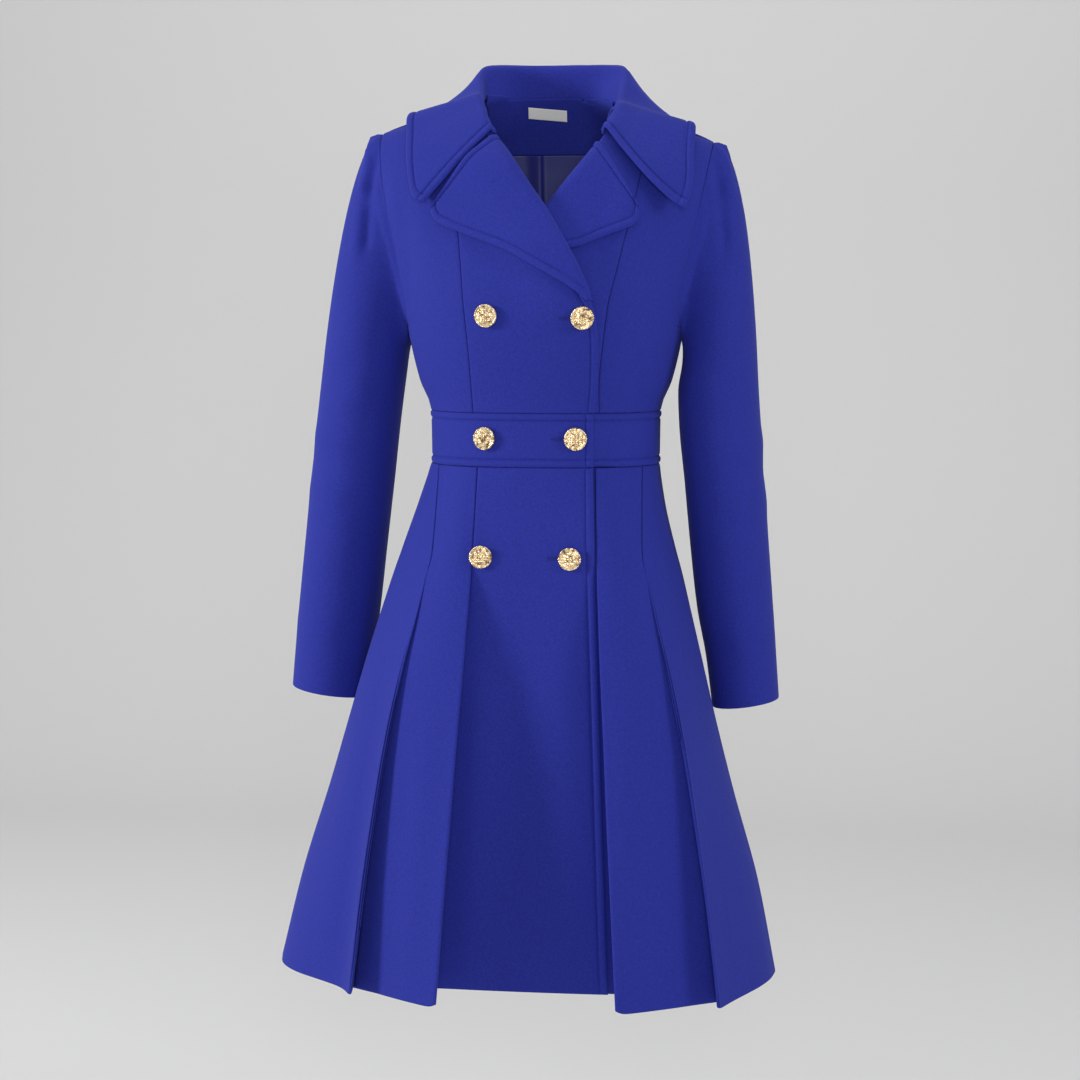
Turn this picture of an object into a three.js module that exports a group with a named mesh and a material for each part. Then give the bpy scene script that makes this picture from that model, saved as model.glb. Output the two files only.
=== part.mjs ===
// Flared double-breasted coat, filled out with no wearer, in millimetres.
// X runs to the viewer's right, Y to the back of the coat and Z up.
// The origin is the middle of the neck at the height of the shoulders.
import * as THREE from 'three';

// Driving dimensions
const CLOTH = 2.5;
const SEAM = 0.3;
const LAYER = 0.5;
const LINING_LAYER = 1.3;
const LAPEL_LAYER = { right: 2.8, left: 2.2 };
const NECK_SET_BACK = { right: 2, left: 4 };
const LINING = 1.5;
const COLLAR_CLOTH = 3.5;
const LAPEL_CLOTH = 3.6;
const FRONT_OVERLAP = 3.4;
const WAIST_TOP = -324;
const WAIST_BOTTOM = -382;
const STITCH_END = -478;
const HEM = -956;
const NECK_BACK = 20.5;
const RIDGE_Y = 8;
const SHOULDER_DROP = 110;
const SEAM_TURN = 6.5;
const UNDER_EDGE = -50;
const ROLL_SET_BACK = 7.5;
const LAPEL_LEAST = 8;
const FACING_END = -38;
const LINING_END = -125;
const PLEAT_X = -16;
const PLEAT_DEPTH = 4;
const LOWER_ROWS = 4;
const UPPER_ROWS = 9;

// Materials
function coating(shade) {
  return new THREE.MeshStandardMaterial({ color: shade, roughness: 0.9, metalness: 0 });
}
const WOOL = coating(0x2c3294);
const LINING_CLOTH = coating(0x252b86);
const LABEL_CLOTH = coating(0xf2f2ee);
const GOLD = new THREE.MeshStandardMaterial({ color: 0xd9a94f, roughness: 0.3, metalness: 1 });

// Torso sections: half width, depth to the front, depth to the back and squareness at each height
const TORSO = [
  { z: -390, half: 126.5, front: 97, back: 80, square: 2.3 },
  { z: -324, half: 127.5, front: 98, back: 80, square: 2.3 },
  { z: -290, half: 140, front: 105, back: 84, square: 2.3 },
  { z: -250, half: 149.5, front: 114, back: 89, square: 2.3 },
  { z: -205, half: 157, front: 119, back: 93, square: 2.3 },
  { z: -160, half: 166, front: 112, back: 96, square: 2.3 },
  { z: -110, half: 180, front: 96, back: 97, square: 2.35 },
  { z: -60, half: 195, front: 82, back: 92, square: 2.4 },
  { z: -20, half: 205, front: 72, back: 84.5, square: 2.4 },
  { z: 30, half: 210, front: 64, back: 72, square: 2.4 },
];

// Skirt sections: the front pleat ridges, the back ones, the side and the middle depths.
// p1 is the ridge nearest the middle, p2 the outer one.
const SKIRT = [
  { z: -382.3, p1x: 64, p1y: 87.7, p2x: 112.5, p2y: 52, b1x: 64, b1y: 72, b2x: 112, b2y: 43,
    wide_r: 127.5, wide_l: 126, front: 97, back: 80, edge: 87.7, back_edge: 72 },
  { z: -430, p1x: 65.5, p1y: 97, p2x: 113.5, p2y: 68, b1x: 66, b1y: 83, b2x: 115, b2y: 58,
    wide_r: 144, wide_l: 133.5, front: 102, back: 89, edge: 97, back_edge: 83 },
  { z: -478, p1x: 67, p1y: 105, p2x: 115.5, p2y: 84, b1x: 68, b1y: 92, b2x: 118, b2y: 71,
    wide_r: 161.5, wide_l: 145, front: 107, back: 96, edge: 105, back_edge: 92 },
  { z: -505, p1x: 68, p1y: 111, p2x: 121, p2y: 92, b1x: 70, b1y: 97, b2x: 122, b2y: 77,
    wide_r: 171.5, wide_l: 152.5, front: 108, back: 98, edge: 105.5, back_edge: 92.5 },
  { z: -545, p1x: 70, p1y: 120, p2x: 130, p2y: 101, b1x: 72, b1y: 104, b2x: 129, b2y: 84,
    wide_r: 185, wide_l: 162, front: 109, back: 99, edge: 106, back_edge: 93.5 },
  { z: -600, p1x: 73, p1y: 131, p2x: 144, p2y: 113, b1x: 75, b1y: 113, b2x: 139, b2y: 93,
    wide_r: 203, wide_l: 175, front: 110, back: 101, edge: 107, back_edge: 95 },
  { z: -670, p1x: 77.5, p1y: 144, p2x: 159, p2y: 125, b1x: 79, b1y: 125, b2x: 150, b2y: 103,
    wide_r: 224, wide_l: 191.5, front: 111, back: 103, edge: 108, back_edge: 97 },
  { z: -750, p1x: 82, p1y: 158, p2x: 172, p2y: 137, b1x: 84, b1y: 138, b2x: 161, b2y: 114,
    wide_r: 248, wide_l: 212, front: 112, back: 105, edge: 109.5, back_edge: 99.5 },
  { z: -850, p1x: 88, p1y: 173, p2x: 186, p2y: 149, b1x: 90, b1y: 152, b2x: 172, b2y: 125,
    wide_r: 280, wide_l: 240, front: 113, back: 107, edge: 111, back_edge: 102 },
  { z: -956, p1x: 94, p1y: 186, p2x: 198, p2y: 158, b1x: 96, b1y: 165, b2x: 182, b2y: 134,
    wide_r: 307, wide_l: 261, front: 114, back: 108, edge: 112, back_edge: 104 },
];
const CUFF = { right: -654, left: -660 };
const SKIRT_ROWS = [-382.3, -410, -445, -478, -498, -525, -565, -620, -690, -770, -860, HEM];

// The side panel's way from its pleat to the side seam, as shares of its width and depth
const SIDE_CURVE = [
  { waistX: 0.45, waistY: 0.22, rightX: 0.15, rightY: 0.23, leftX: 0.24, leftY: 0.22 },
  { waistX: 0.75, waistY: 0.45, rightX: 0.43, rightY: 0.4, leftX: 0.5, leftY: 0.42 },
  { waistX: 0.92, waistY: 0.68, rightX: 0.73, rightY: 0.57, leftX: 0.76, leftY: 0.62 },
  { waistX: 0.99, waistY: 0.85, rightX: 0.94, rightY: 0.77, leftX: 0.94, leftY: 0.82 },
];

// Seams of the bodice as x and z, from the waist to the chest and from there to the shoulder
const PRINCESS = {
  right: {
    lower: [[-69, WAIST_TOP], [-70, -290], [-72, -250], [-76, -205]],
    upper: [[-76, -205], [-80, -160], [-86, -115], [-99, -60], [-118, -2]],
  },
  left: {
    lower: [[69, WAIST_TOP], [69.5, -290], [74, -250], [80, -205]],
    upper: [[80, -205], [88, -170], [97, -130], [109, -75], [120, -12]],
  },
};
const ROLL = {
  right: [[63, -203], [56, -184], [45, -160], [30, -134], [13, -106], [-7, -78], [-32, -42],
    [-47, -25]],
  left: [[-6, -122], [16, -93], [31, -74], [46, -55], [62, -33]],
};
const NECK = {
  right: [[-47, -25], [-58, -11], [-68, 4], [-75, 17]],
  left: [[62, -33], [69, -18], [75, -3], [79, 8]],
};

// Armholes as degrees from the middle of the front and height
const FRONT_ARMHOLE = [
  { turn: 90, z: -238 }, { turn: 80, z: -233 }, { turn: 74.5, z: -212 }, { turn: 72.5, z: -170 },
  { turn: 69.5, z: -120 }, { turn: 66, z: -75 },
];
const BACK_ARMHOLE = [
  { turn: 90, z: -238 }, { turn: 100, z: -233 }, { turn: 106, z: -212 }, { turn: 109, z: -170 },
  { turn: 111, z: -120 }, { turn: 114, z: -75 },
];

// Shoulder seams: height at the neck and at the armhole for each side
const SHOULDER = {
  right: { neckX: 75, neckZ: 17, tipX: 183, tipZ: -19 },
  left: { neckX: 79, neckZ: 8, tipX: 184, tipZ: -31 },
};

// Collar stations from the right front round the back to the left front:
// n is the neck seam, f the fold and e the outer edge
const COLLAR = [
  { nx: -48, nz: -24, back: 0, fx: -51, fy: -62, fz: -19, ex: -118, ey: -84, ez: -99 },
  { nx: -56, nz: -13, back: 0, fx: -58, fy: -48, fz: -5, ex: -132, ey: -80, ez: -94 },
  { nx: -62.5, nz: -4, back: 0, fx: -63, fy: -32, fz: 7, ex: -137, ey: -66, ez: -78 },
  { nx: -68.5, nz: 5, back: 0, fx: -69, fy: -12, fz: 20, ex: -143, ey: -42, ez: -46 },
  { nx: -75, nz: 16.8, back: 0, fx: -74, fy: 14, fz: 36, ex: -148, ey: -8, ez: -10 },
  { nx: -71, nz: 18, back: 1, fx: -77, fy: 34, fz: 48, ex: -150, ey: 34, ez: 0 },
  { nx: -62, nz: 19, back: 1, fx: -74, fy: 54, fz: 58, ex: -137, ey: 74, ez: -8 },
  { nx: -46, nz: 20, back: 1, fx: -57, fy: 70, fz: 61, ex: -100, ey: 101, ez: -18 },
  { nx: -24, nz: 20.5, back: 1, fx: -28, fy: 79, fz: 61, ex: -50, ey: 112, ez: -23 },
  { nx: 0, nz: 20.5, back: 1, fx: 2, fy: 82, fz: 61, ex: 2, ey: 115, ez: -25 },
  { nx: 24, nz: 20.5, back: 1, fx: 32, fy: 79, fz: 61, ex: 54, ey: 112, ez: -25 },
  { nx: 46, nz: 20, back: 1, fx: 61, fy: 70, fz: 60, ex: 104, ey: 101, ez: -23 },
  { nx: 62, nz: 18, back: 1, fx: 79, fy: 54, fz: 56, ex: 142, ey: 74, ez: -18 },
  { nx: 73, nz: 11, back: 1, fx: 83, fy: 34, fz: 43, ex: 156, ey: 34, ez: -13 },
  { nx: 79, nz: 7.8, back: 0, fx: 81, fy: 14, fz: 27, ex: 158, ey: -8, ez: -26 },
  { nx: 75.5, nz: -2, back: 0, fx: 78, fy: -10, fz: 10, ex: 160, ey: -42, ez: -54 },
  { nx: 70.5, nz: -15, back: 0, fx: 73, fy: -30, fz: -5, ex: 161, ey: -66, ez: -84 },
  { nx: 65, nz: -28, back: 0, fx: 66, fy: -46, fz: -20, ex: 158, ey: -84, ez: -105 },
];

// Lapel outer edges as x and z, from the tip to the end of the roll
const LAPEL_EDGE = {
  right: [[-110, -100], [-113, -106], [-111, -114], [-103, -122], [-72, -135], [-33, -150],
    [0, -168], [34, -187], [50, -198], [58, -203]],
  left: [[106, -100], [109, -110], [107, -121], [98, -127], [71, -137], [45, -147], [22, -148],
    [0, -130]],
};

// Sleeve sections below the armhole: outer and inner x at each height, and how far back
const SLEEVE = {
  right: [
    { z: -268, outer: -251, inner: -158, back: 8, depth: 56 },
    { z: -330, outer: -259.5, inner: -167, back: 12, depth: 55 },
    { z: -400, outer: -269, inner: -176, back: 18, depth: 54 },
    { z: -470, outer: -278.5, inner: -186, back: 27, depth: 52 },
    { z: -540, outer: -288.5, inner: -196, back: 38, depth: 50 },
    { z: -600, outer: -297, inner: -206, back: 49, depth: 48 },
    { z: CUFF.right, outer: -304, inner: -214, back: 58, depth: 46 },
  ],
  left: [
    { z: -268, outer: 233.5, inner: 151, back: 8, depth: 56 },
    { z: -298, outer: 235, inner: 146.5, back: 10, depth: 56 },
    { z: -330, outer: 237, inner: 147.5, back: 12, depth: 55 },
    { z: -400, outer: 242, inner: 154, back: 18, depth: 54 },
    { z: -470, outer: 247, inner: 160, back: 28, depth: 52 },
    { z: -540, outer: 252, inner: 167, back: 42, depth: 49 },
    { z: -600, outer: 256, inner: 177, back: 56, depth: 46 },
    { z: CUFF.left, outer: 260, inner: 184, back: 67, depth: 44 },
  ],
};

const BUTTON = { radius: 12.5, rim: 1.6, dome: 6.4, shank: 1.2, shankRadius: 3, sides: 18 };
const BUTTONS = [
  { name: 'button_right_top', x: -50, z: -219 },
  { name: 'button_left_top', x: 52, z: -221 },
  { name: 'button_right_middle', x: -55, z: -351 },
  { name: 'button_left_middle', x: 43, z: -351 },
  { name: 'button_right_bottom', x: -58, z: -478 },
  { name: 'button_left_bottom', x: 39, z: -479 },
];
const LABEL = { x: -7, z: 7, wide: 44, high: 12.5, thick: 0.8, turn: -0.09 };

// Small tools
const coat = new THREE.Group();
const clamp = (value, low, high) => Math.min(high, Math.max(low, value));
const lerp = (a, b, share) => a + (b - a) * share;
const smooth = (low, high, value) => {
  const share = clamp((value - low) / (high - low), 0, 1);
  return share * share * (3 - 2 * share);
};

// Value of one column of a table at a height, by a smooth curve that never overshoots
function column(table, name, z) {
  const rows = [...table].sort((a, b) => a.z - b.z);
  if (z <= rows[0].z) return rows[0][name];
  const last = rows.length - 1;
  if (z >= rows[last].z) return rows[last][name];
  const slope = (i) => (rows[i + 1][name] - rows[i][name]) / (rows[i + 1].z - rows[i].z);
  const tangent = (i) => {
    if (i === 0) return slope(0);
    if (i === last) return slope(last - 1);
    const before = slope(i - 1);
    const after = slope(i);
    return before * after <= 0 ? 0 : (2 * before * after) / (before + after);
  };
  let i = 0;
  while (z > rows[i + 1].z) i += 1;
  const span = rows[i + 1].z - rows[i].z;
  const t = (z - rows[i].z) / span;
  return (2 * t ** 3 - 3 * t ** 2 + 1) * rows[i][name]
    + (t ** 3 - 2 * t ** 2 + t) * span * tangent(i)
    + (-2 * t ** 3 + 3 * t ** 2) * rows[i + 1][name]
    + (t ** 3 - t ** 2) * span * tangent(i + 1);
}

// Points spaced along a smooth curve through x and z pairs
function along(pairs, share) {
  const spline = new THREE.SplineCurve(pairs.map(([x, z]) => new THREE.Vector2(x, z)));
  return spline.getPointAt(clamp(share, 0, 1));
}

// One closed mesh from an outer and an inner sheet of points; round sheets close on themselves
function wall(name, outer, inner, material, round = false) {
  const rows = outer.length;
  const columns = outer[0].length;
  const points = [];
  const faces = [];
  for (const sheet of [outer, inner]) for (const row of sheet) points.push(...row);
  const at = (side, i, j) => side * rows * columns + i * columns + (j % columns);
  const quad = (a, b, c, d) => faces.push(a, b, c, a, c, d);
  const spans = round ? columns : columns - 1;
  for (let i = 0; i < rows - 1; i += 1) {
    for (let j = 0; j < spans; j += 1) {
      quad(at(0, i, j), at(0, i, j + 1), at(0, i + 1, j + 1), at(0, i + 1, j));
      quad(at(1, i, j), at(1, i + 1, j), at(1, i + 1, j + 1), at(1, i, j + 1));
    }
    if (!round) {
      const end = columns - 1;
      quad(at(0, i, 0), at(0, i + 1, 0), at(1, i + 1, 0), at(1, i, 0));
      quad(at(0, i, end), at(1, i, end), at(1, i + 1, end), at(0, i + 1, end));
    }
  }
  for (let j = 0; j < spans; j += 1) {
    const end = rows - 1;
    quad(at(0, 0, j), at(1, 0, j), at(1, 0, j + 1), at(0, 0, j + 1));
    quad(at(0, end, j), at(0, end, j + 1), at(1, end, j + 1), at(1, end, j));
  }
  let volume = 0;
  for (let f = 0; f < faces.length; f += 3) {
    const [a, b, c] = [points[faces[f]], points[faces[f + 1]], points[faces[f + 2]]];
    volume += a.dot(b.clone().cross(c));
  }
  if (volume < 0) {
    for (let f = 0; f < faces.length; f += 3) {
      [faces[f + 1], faces[f + 2]] = [faces[f + 2], faces[f + 1]];
    }
  }
  const geometry = new THREE.BufferGeometry();
  const flat = points.flatMap((p) => [p.x, p.y, p.z]);
  geometry.setAttribute('position', new THREE.Float32BufferAttribute(flat, 3));
  geometry.setIndex(faces);
  add(name, geometry, material);
}

function add(name, geometry, material) {
  const mesh = new THREE.Mesh(geometry, material);
  mesh.name = name;
  coat.add(mesh);
  return mesh;
}

// Torso surface
const sideOf = (x) => (x < 0 ? 'right' : 'left');

function shoulderHeight(x) {
  const seam = SHOULDER[sideOf(x)];
  const share = (Math.abs(x) - seam.neckX) / (seam.tipX - seam.neckX);
  return lerp(seam.neckZ, seam.tipZ, share);
}

// Turn in degrees round the torso at which it has a given x
function turnOf(x, z, behind) {
  const share = clamp(Math.abs(x) / column(TORSO, 'half', z), 0, 1);
  const turn = THREE.MathUtils.radToDeg(Math.asin(share ** (column(TORSO, 'square', z) / 2)));
  return behind ? 180 - turn : turn;
}

// A point of the torso: side is 1 on the viewer's right and -1 on the viewer's left
function torso(side, turn, z) {
  const angle = THREE.MathUtils.degToRad(turn);
  const power = 2 / column(TORSO, 'square', z);
  const x = side * column(TORSO, 'half', z) * Math.sin(angle) ** power;
  const behind = turn > 90;
  const depth = column(TORSO, behind ? 'back' : 'front', z);
  const ring = (behind ? 1 : -1) * depth * Math.abs(Math.cos(angle)) ** power;
  const drop = clamp((shoulderHeight(x) - z) / SHOULDER_DROP, 0, 1);
  const arch = Math.sqrt(1 - (1 - drop) ** 2);
  const neck = behind ? smooth(100, 30, Math.abs(x)) : 0;
  return new THREE.Vector3(x, lerp(RIDGE_Y, ring, lerp(arch, 1, neck)), z);
}

function torsoNormal(side, turn, z) {
  const step = 0.4;
  const round = torso(side, Math.min(turn + step, 179.9), z)
    .sub(torso(side, Math.max(turn - step, 0.1), z)).multiplyScalar(side);
  const up = torso(side, turn, z + step).sub(torso(side, turn, z - step));
  const normal = round.cross(up).normalize();
  const behind = turn > 90;
  if (behind ? normal.y < -0.2 : normal.y > 0.2) normal.negate();
  const drop = shoulderHeight(torso(side, turn, z).x) - z;
  if (drop < 1) normal.setY(0).normalize();
  if (Math.abs(turn - 90) < 0.5) normal.setY(0).normalize();
  return normal;
}

// How far the right front stands off over the left lapel beside its roll
function rollLift(x, z) {
  let gap = Infinity;
  for (const [rx, rz] of ROLL.right) gap = Math.min(gap, Math.hypot(x - rx, z - rz));
  return 6.5 * smooth(80, 30, gap) * smooth(-250, -190, z) * smooth(-28, -60, z);
}

// How far the left front lies in under the right one
function underLap(x, z) {
  return FRONT_OVERLAP * smooth(98, 70, x) * smooth(-50, -110, z);
}

// A bodice panel between two edges, each a list of places with a side, turn and height
function torsoPanel(name, edgeA, edgeB, columns, shift, offset = () => 0) {
  const outer = [];
  const inner = [];
  for (let i = 0; i < edgeA.length; i += 1) {
    const outerRow = [];
    const innerRow = [];
    for (let j = 0; j < columns; j += 1) {
      const share = j / (columns - 1);
      const turn = lerp(edgeA[i].turn, edgeB[i].turn, share);
      const z = lerp(edgeA[i].z, edgeB[i].z, share);
      const side = turn < 0 ? -1 : 1;
      const point = torso(side, Math.abs(turn), z);
      const normal = torsoNormal(side, Math.abs(turn), z);
      point.addScaledVector(normal, offset(point.x, z));
      point.x += lerp(shift.a, shift.b, share);
      point.y += shift.y;
      outerRow.push(point);
      innerRow.push(point.clone().addScaledVector(normal, -CLOTH));
    }
    outer.push(outerRow);
    inner.push(innerRow);
  }
  wall(name, outer, inner, WOOL);
  return { outer, inner };
}

// Places along a seam given as x and z, for the rows of a bodice panel
function seamPlaces(seam, side, behind = false) {
  const places = [];
  const place = (point) => {
    const turn = turnOf(point.x, point.y, behind);
    const sign = Math.sign(point.x) || side;
    places.push({ turn: sign * turn, z: point.y });
  };
  for (let i = 0; i < LOWER_ROWS; i += 1) place(along(seam.lower, i / LOWER_ROWS));
  for (let i = 0; i <= UPPER_ROWS; i += 1) {
    place(along(seam.upper, Math.sin((Math.PI / 2) * (i / UPPER_ROWS))));
  }
  return places;
}

// The side seam and the armhole above it, as places for the rows of a bodice panel
function sidePlaces(side, armhole, behind) {
  const seam = SHOULDER[side < 0 ? 'right' : 'left'];
  const tip = turnOf(seam.tipX, seam.tipZ, behind);
  const path = [...armhole.map((row) => [row.turn, row.z]), [tip, seam.tipZ]];
  const places = [];
  for (let i = 0; i < LOWER_ROWS; i += 1) {
    places.push({ turn: side * 90, z: lerp(WAIST_TOP, armhole[0].z, i / LOWER_ROWS) });
  }
  for (let i = 0; i <= UPPER_ROWS; i += 1) {
    const point = along(path, Math.sin((Math.PI / 2) * (i / UPPER_ROWS)));
    places.push({ turn: side * point.x, z: point.y });
  }
  return places;
}

// The front edge below the roll, the roll set back by the fold and the neck seam
function frontEdge(side, lower) {
  const name = side < 0 ? 'right' : 'left';
  const inward = side < 0 ? -1 : 1;
  const roll = ROLL[name].map(([x, z]) => [x + inward * ROLL_SET_BACK, z]);
  const neck = NECK[name].map(([x, z]) => {
    const at = x + inward * NECK_SET_BACK[name];
    return [at, Math.min(z, shoulderHeight(at))];
  });
  const start = [lower[lower.length - 1]];
  return { lower, upper: [...start, ...roll.slice(1, -1), ...neck.slice(1)] };
}

function mirrorBack(side, xWaist, xTop) {
  const seam = SHOULDER[side < 0 ? 'right' : 'left'];
  const top = lerp(seam.neckZ, seam.tipZ, (Math.abs(xTop) - seam.neckX) / (seam.tipX - seam.neckX));
  return {
    lower: [[side * xWaist, WAIST_TOP], [side * (xWaist + 2), -290], [side * (xWaist + 6), -250],
      [side * (xWaist + 12), -205]],
    upper: [[side * (xWaist + 12), -205], [side * (xWaist + 20), -150], [side * (xTop - 14), -85],
      [side * xTop, top]],
  };
}

const half = SEAM / 2;
const frontShift = (a, b) => ({ a, b, y: -half });
const backShift = (a, b) => ({ a, b, y: half });

function trimWaist(places) {
  places[0].z = WAIST_TOP + SEAM;
  return places;
}

function bodice() {
  const rightPrincess = trimWaist(seamPlaces(PRINCESS.right, -1));
  const leftPrincess = trimWaist(seamPlaces(PRINCESS.left, 1));
  const rightFront = frontEdge(-1, [[64, WAIST_TOP], [68, -287], [69, -240], [63, -208]]);
  const leftFront = frontEdge(1, [[UNDER_EDGE, WAIST_TOP], [UNDER_EDGE, -250], [-40, -190],
    [-14, -135]]);
  torsoPanel('bodice_centre_front_right', rightPrincess, trimWaist(seamPlaces(rightFront, -1)), 13,
    frontShift(half, 0), rollLift);
  torsoPanel('bodice_centre_front_left', leftPrincess, trimWaist(seamPlaces(leftFront, 1)), 8,
    frontShift(-half, 0), (x, z) => -underLap(x, z));
  const armholes = {};
  for (const side of [-1, 1]) {
    const name = side < 0 ? 'right' : 'left';
    const princess = side < 0 ? rightPrincess : leftPrincess;
    const frontSide = trimWaist(sidePlaces(side, FRONT_ARMHOLE, false));
    const backSide = trimWaist(sidePlaces(side, BACK_ARMHOLE, true));
    const backPrincess = trimWaist(seamPlaces(mirrorBack(side, 58, 122), side, true));
    const lap = side < 0 ? rollLift : (x, z) => -underLap(x, z);
    armholes[name] = {
      front: torsoPanel(`bodice_side_front_${name}`, princess, frontSide, 6,
        frontShift(side * half, 0), lap),
      back: torsoPanel(`bodice_side_back_${name}`, backPrincess, backSide, 6,
        backShift(side * half, 0)),
    };
  }
  centreBack();
  return armholes;
}

// The height of the top edge at the back: the shoulder seams and the neck seam between them
function backTop(x) {
  const seam = SHOULDER[sideOf(x)];
  if (Math.abs(x) >= seam.neckX) return shoulderHeight(x);
  return lerp(seam.neckZ, NECK_BACK, smooth(seam.neckX, 40, Math.abs(x)));
}

// The centre back reaches the neck seam across the whole back
function centreBack() {
  const right = trimWaist(seamPlaces(mirrorBack(-1, 58, 122), -1, true));
  const left = trimWaist(seamPlaces(mirrorBack(1, 58, 122), 1, true));
  const columns = 17;
  const outer = [];
  const inner = [];
  for (let i = 0; i < right.length; i += 1) {
    const xRight = torso(-1, Math.abs(right[i].turn), right[i].z).x + half;
    const xLeft = torso(1, left[i].turn, left[i].z).x - half;
    const rise = smooth(LOWER_ROWS - 1, right.length - 1, i);
    const outerRow = [];
    const innerRow = [];
    for (let j = 0; j < columns; j += 1) {
      const share = j / (columns - 1);
      const x = lerp(xRight, xLeft, share);
      const seamZ = lerp(right[i].z, left[i].z, share);
      const topZ = lerp(right.at(-1).z, left.at(-1).z, share);
      const z = seamZ + (backTop(x) - topZ) * rise * Math.min(1, 8 * share * (1 - share));
      const { position, normal } = backSurface(x, z);
      outerRow.push(position);
      innerRow.push(position.clone().addScaledVector(normal, -CLOTH));
    }
    outer.push(outerRow);
    inner.push(innerRow);
  }
  wall('bodice_centre_back', outer, inner, WOOL);
}

// A point on the back of the coat, with the way out of the cloth
function backSurface(x, z) {
  const side = x < 0 ? -1 : 1;
  const turn = turnOf(x, z, true);
  const position = torso(side, turn, z);
  position.x = x;
  position.y += half;
  return { position, normal: torsoNormal(side, Math.min(turn, 179.5), z) };
}

// Skirt
// A wall whose rows are level outlines, thickened inward by mitred corners
function levelWall(name, rows) {
  const outer = rows.map((row) => row.points.map(([x, y]) => new THREE.Vector3(x, y, row.z)));
  const inner = rows.map((row) => {
    const plan = row.points.map(([x, y]) => new THREE.Vector2(x, y));
    return plan.map((point, i) => {
      const before = plan[Math.max(i - 1, 0)];
      const after = plan[Math.min(i + 1, plan.length - 1)];
      const a = i === 0 ? after.clone().sub(point) : point.clone().sub(before);
      const b = i === plan.length - 1 ? point.clone().sub(before) : after.clone().sub(point);
      const na = new THREE.Vector2(-a.y, a.x).normalize().multiplyScalar(row.inward);
      const nb = new THREE.Vector2(-b.y, b.x).normalize().multiplyScalar(row.inward);
      const miter = na.clone().add(nb).multiplyScalar(CLOTH / (1 + na.dot(nb)));
      if (row.square && i === plan.length - 1) miter.set(-Math.sign(point.x) * CLOTH, 0);
      return new THREE.Vector3(point.x + miter.x, point.y + miter.y, row.z);
    });
  });
  wall(name, outer, inner, WOOL);
}

// Key places of one quarter of the skirt at a height, on the viewer's right and facing +Y when
// behind is set; front places come out with a negative Y
function skirtPlaces(z, side, behind) {
  const get = (name) => column(SKIRT, name, z);
  const open = clamp((STITCH_END - z) / (STITCH_END - HEM), 0, 1);
  const face = behind ? 1 : -1;
  const first = behind ? [get('b1x'), get('b1y')] : [get('p1x'), get('p1y')];
  const outerX = behind ? get('b2x') : get('p2x') + 4 * open * side;
  const second = [outerX, behind ? get('b2y') : get('p2y')];
  const middle = get(behind ? 'back' : 'front');
  const wide = get(side < 0 ? 'wide_r' : 'wide_l');
  const level = get(behind ? 'back_edge' : 'edge');
  return { open, face, first, second, middle, wide, level };
}

// The depth of the middle panel across the coat, flatter towards the hem
function middleDepth(places, x) {
  const share = Math.min(1, Math.abs(x) / places.first[0]);
  return lerp(places.middle, places.level, share ** 2.3);
}

// Where the first pleat's leg meets the middle panel
function legFoot(places) {
  return [places.first[0] + 26 * places.open, middleDepth(places, places.first[0])];
}

// The end of a pleat's leg, a seam allowance beyond its foot
function legEnd(ridge, foot, lean) {
  const way = new THREE.Vector2(foot[0] - ridge[0] + lean * SEAM_TURN,
    foot[1] - ridge[1] - SEAM_TURN).normalize().multiplyScalar(SEAM_TURN);
  return [foot[0] + way.x, foot[1] + way.y];
}

function pleatPanel(name, side, behind) {
  const rows = SKIRT_ROWS.map((z) => {
    const places = skirtPlaces(z, side, behind);
    const { open, first, second } = places;
    const foot = legFoot(places);
    const bulge = lerp(5.5, behind ? 4 : 2, Math.sqrt(open));
    const groove = [
      second[0] - lerp(7, 24, open),
      second[1] + lerp(5.5, behind ? -12 : -20, open),
    ];
    const points = [legEnd(first, foot, 0), first];
    for (const share of [0.3, 0.6, 0.85]) {
      const hump = 4 * share * (1 - share) * bulge;
      points.push([lerp(first[0], groove[0], share), lerp(first[1], groove[1], share) + hump]);
    }
    points.push(groove, innerFold(places, legGap(open, 1.7)));
    return finishRow(points, z, side, places.face);
  });
  levelWall(name, rows);
}

// Where the outer pleat's leg meets the pleat panel behind it
function innerFold(places, gap = 0) {
  const { open, second } = places;
  return [second[0] + 5 * open - gap, second[1] - 38 * open];
}

function sidePanel(name, side, behind) {
  const rows = SKIRT_ROWS.map((z) => {
    const places = skirtPlaces(z, side, behind);
    const { open, second, wide } = places;
    const fold = innerFold(places);
    const points = [legEnd(second, fold, -0.5 * (1 - open)), second];
    for (const row of SIDE_CURVE) {
      const hemX = side < 0 ? row.rightX : row.leftX;
      const hemY = side < 0 ? row.rightY : row.leftY;
      const ease = Math.sqrt(open);
      const x = lerp(second[0], wide, lerp(row.waistX, hemX, ease));
      const y = lerp(second[1], 0, lerp(row.waistY, hemY, ease));
      points.push([x, y]);
    }
    points.push([wide, half]);
    return { ...finishRow(points, z, side, places.face), square: true };
  });
  levelWall(name, rows);
}

function finishRow(points, z, side, face) {
  const placed = points.map(([x, y]) => [x * side, y * face]);
  return { z, points: placed, inward: -side * face };
}

// The gap beside a leg, a seam where the pleat is stitched and wider where it hangs open
const legGap = (open, wide) => lerp(SEAM, wide, clamp(open * 20, 0, 1));

// A middle panel between two places across the coat, set in by a lap
function middlePanel(name, behind, fromX, toX, lap) {
  const rows = SKIRT_ROWS.map((z) => {
    const start = fromX(z);
    const end = toX(z);
    const points = [];
    const count = behind ? 10 : 8;
    for (let i = 0; i <= count; i += 1) {
      const x = lerp(start, end, i / count);
      const places = skirtPlaces(z, x < 0 ? -1 : 1, behind);
      points.push([x, places.face * (middleDepth(places, x) - lap)]);
    }
    return { z, points, inward: behind ? -1 : 1 };
  });
  levelWall(name, rows);
}

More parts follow.
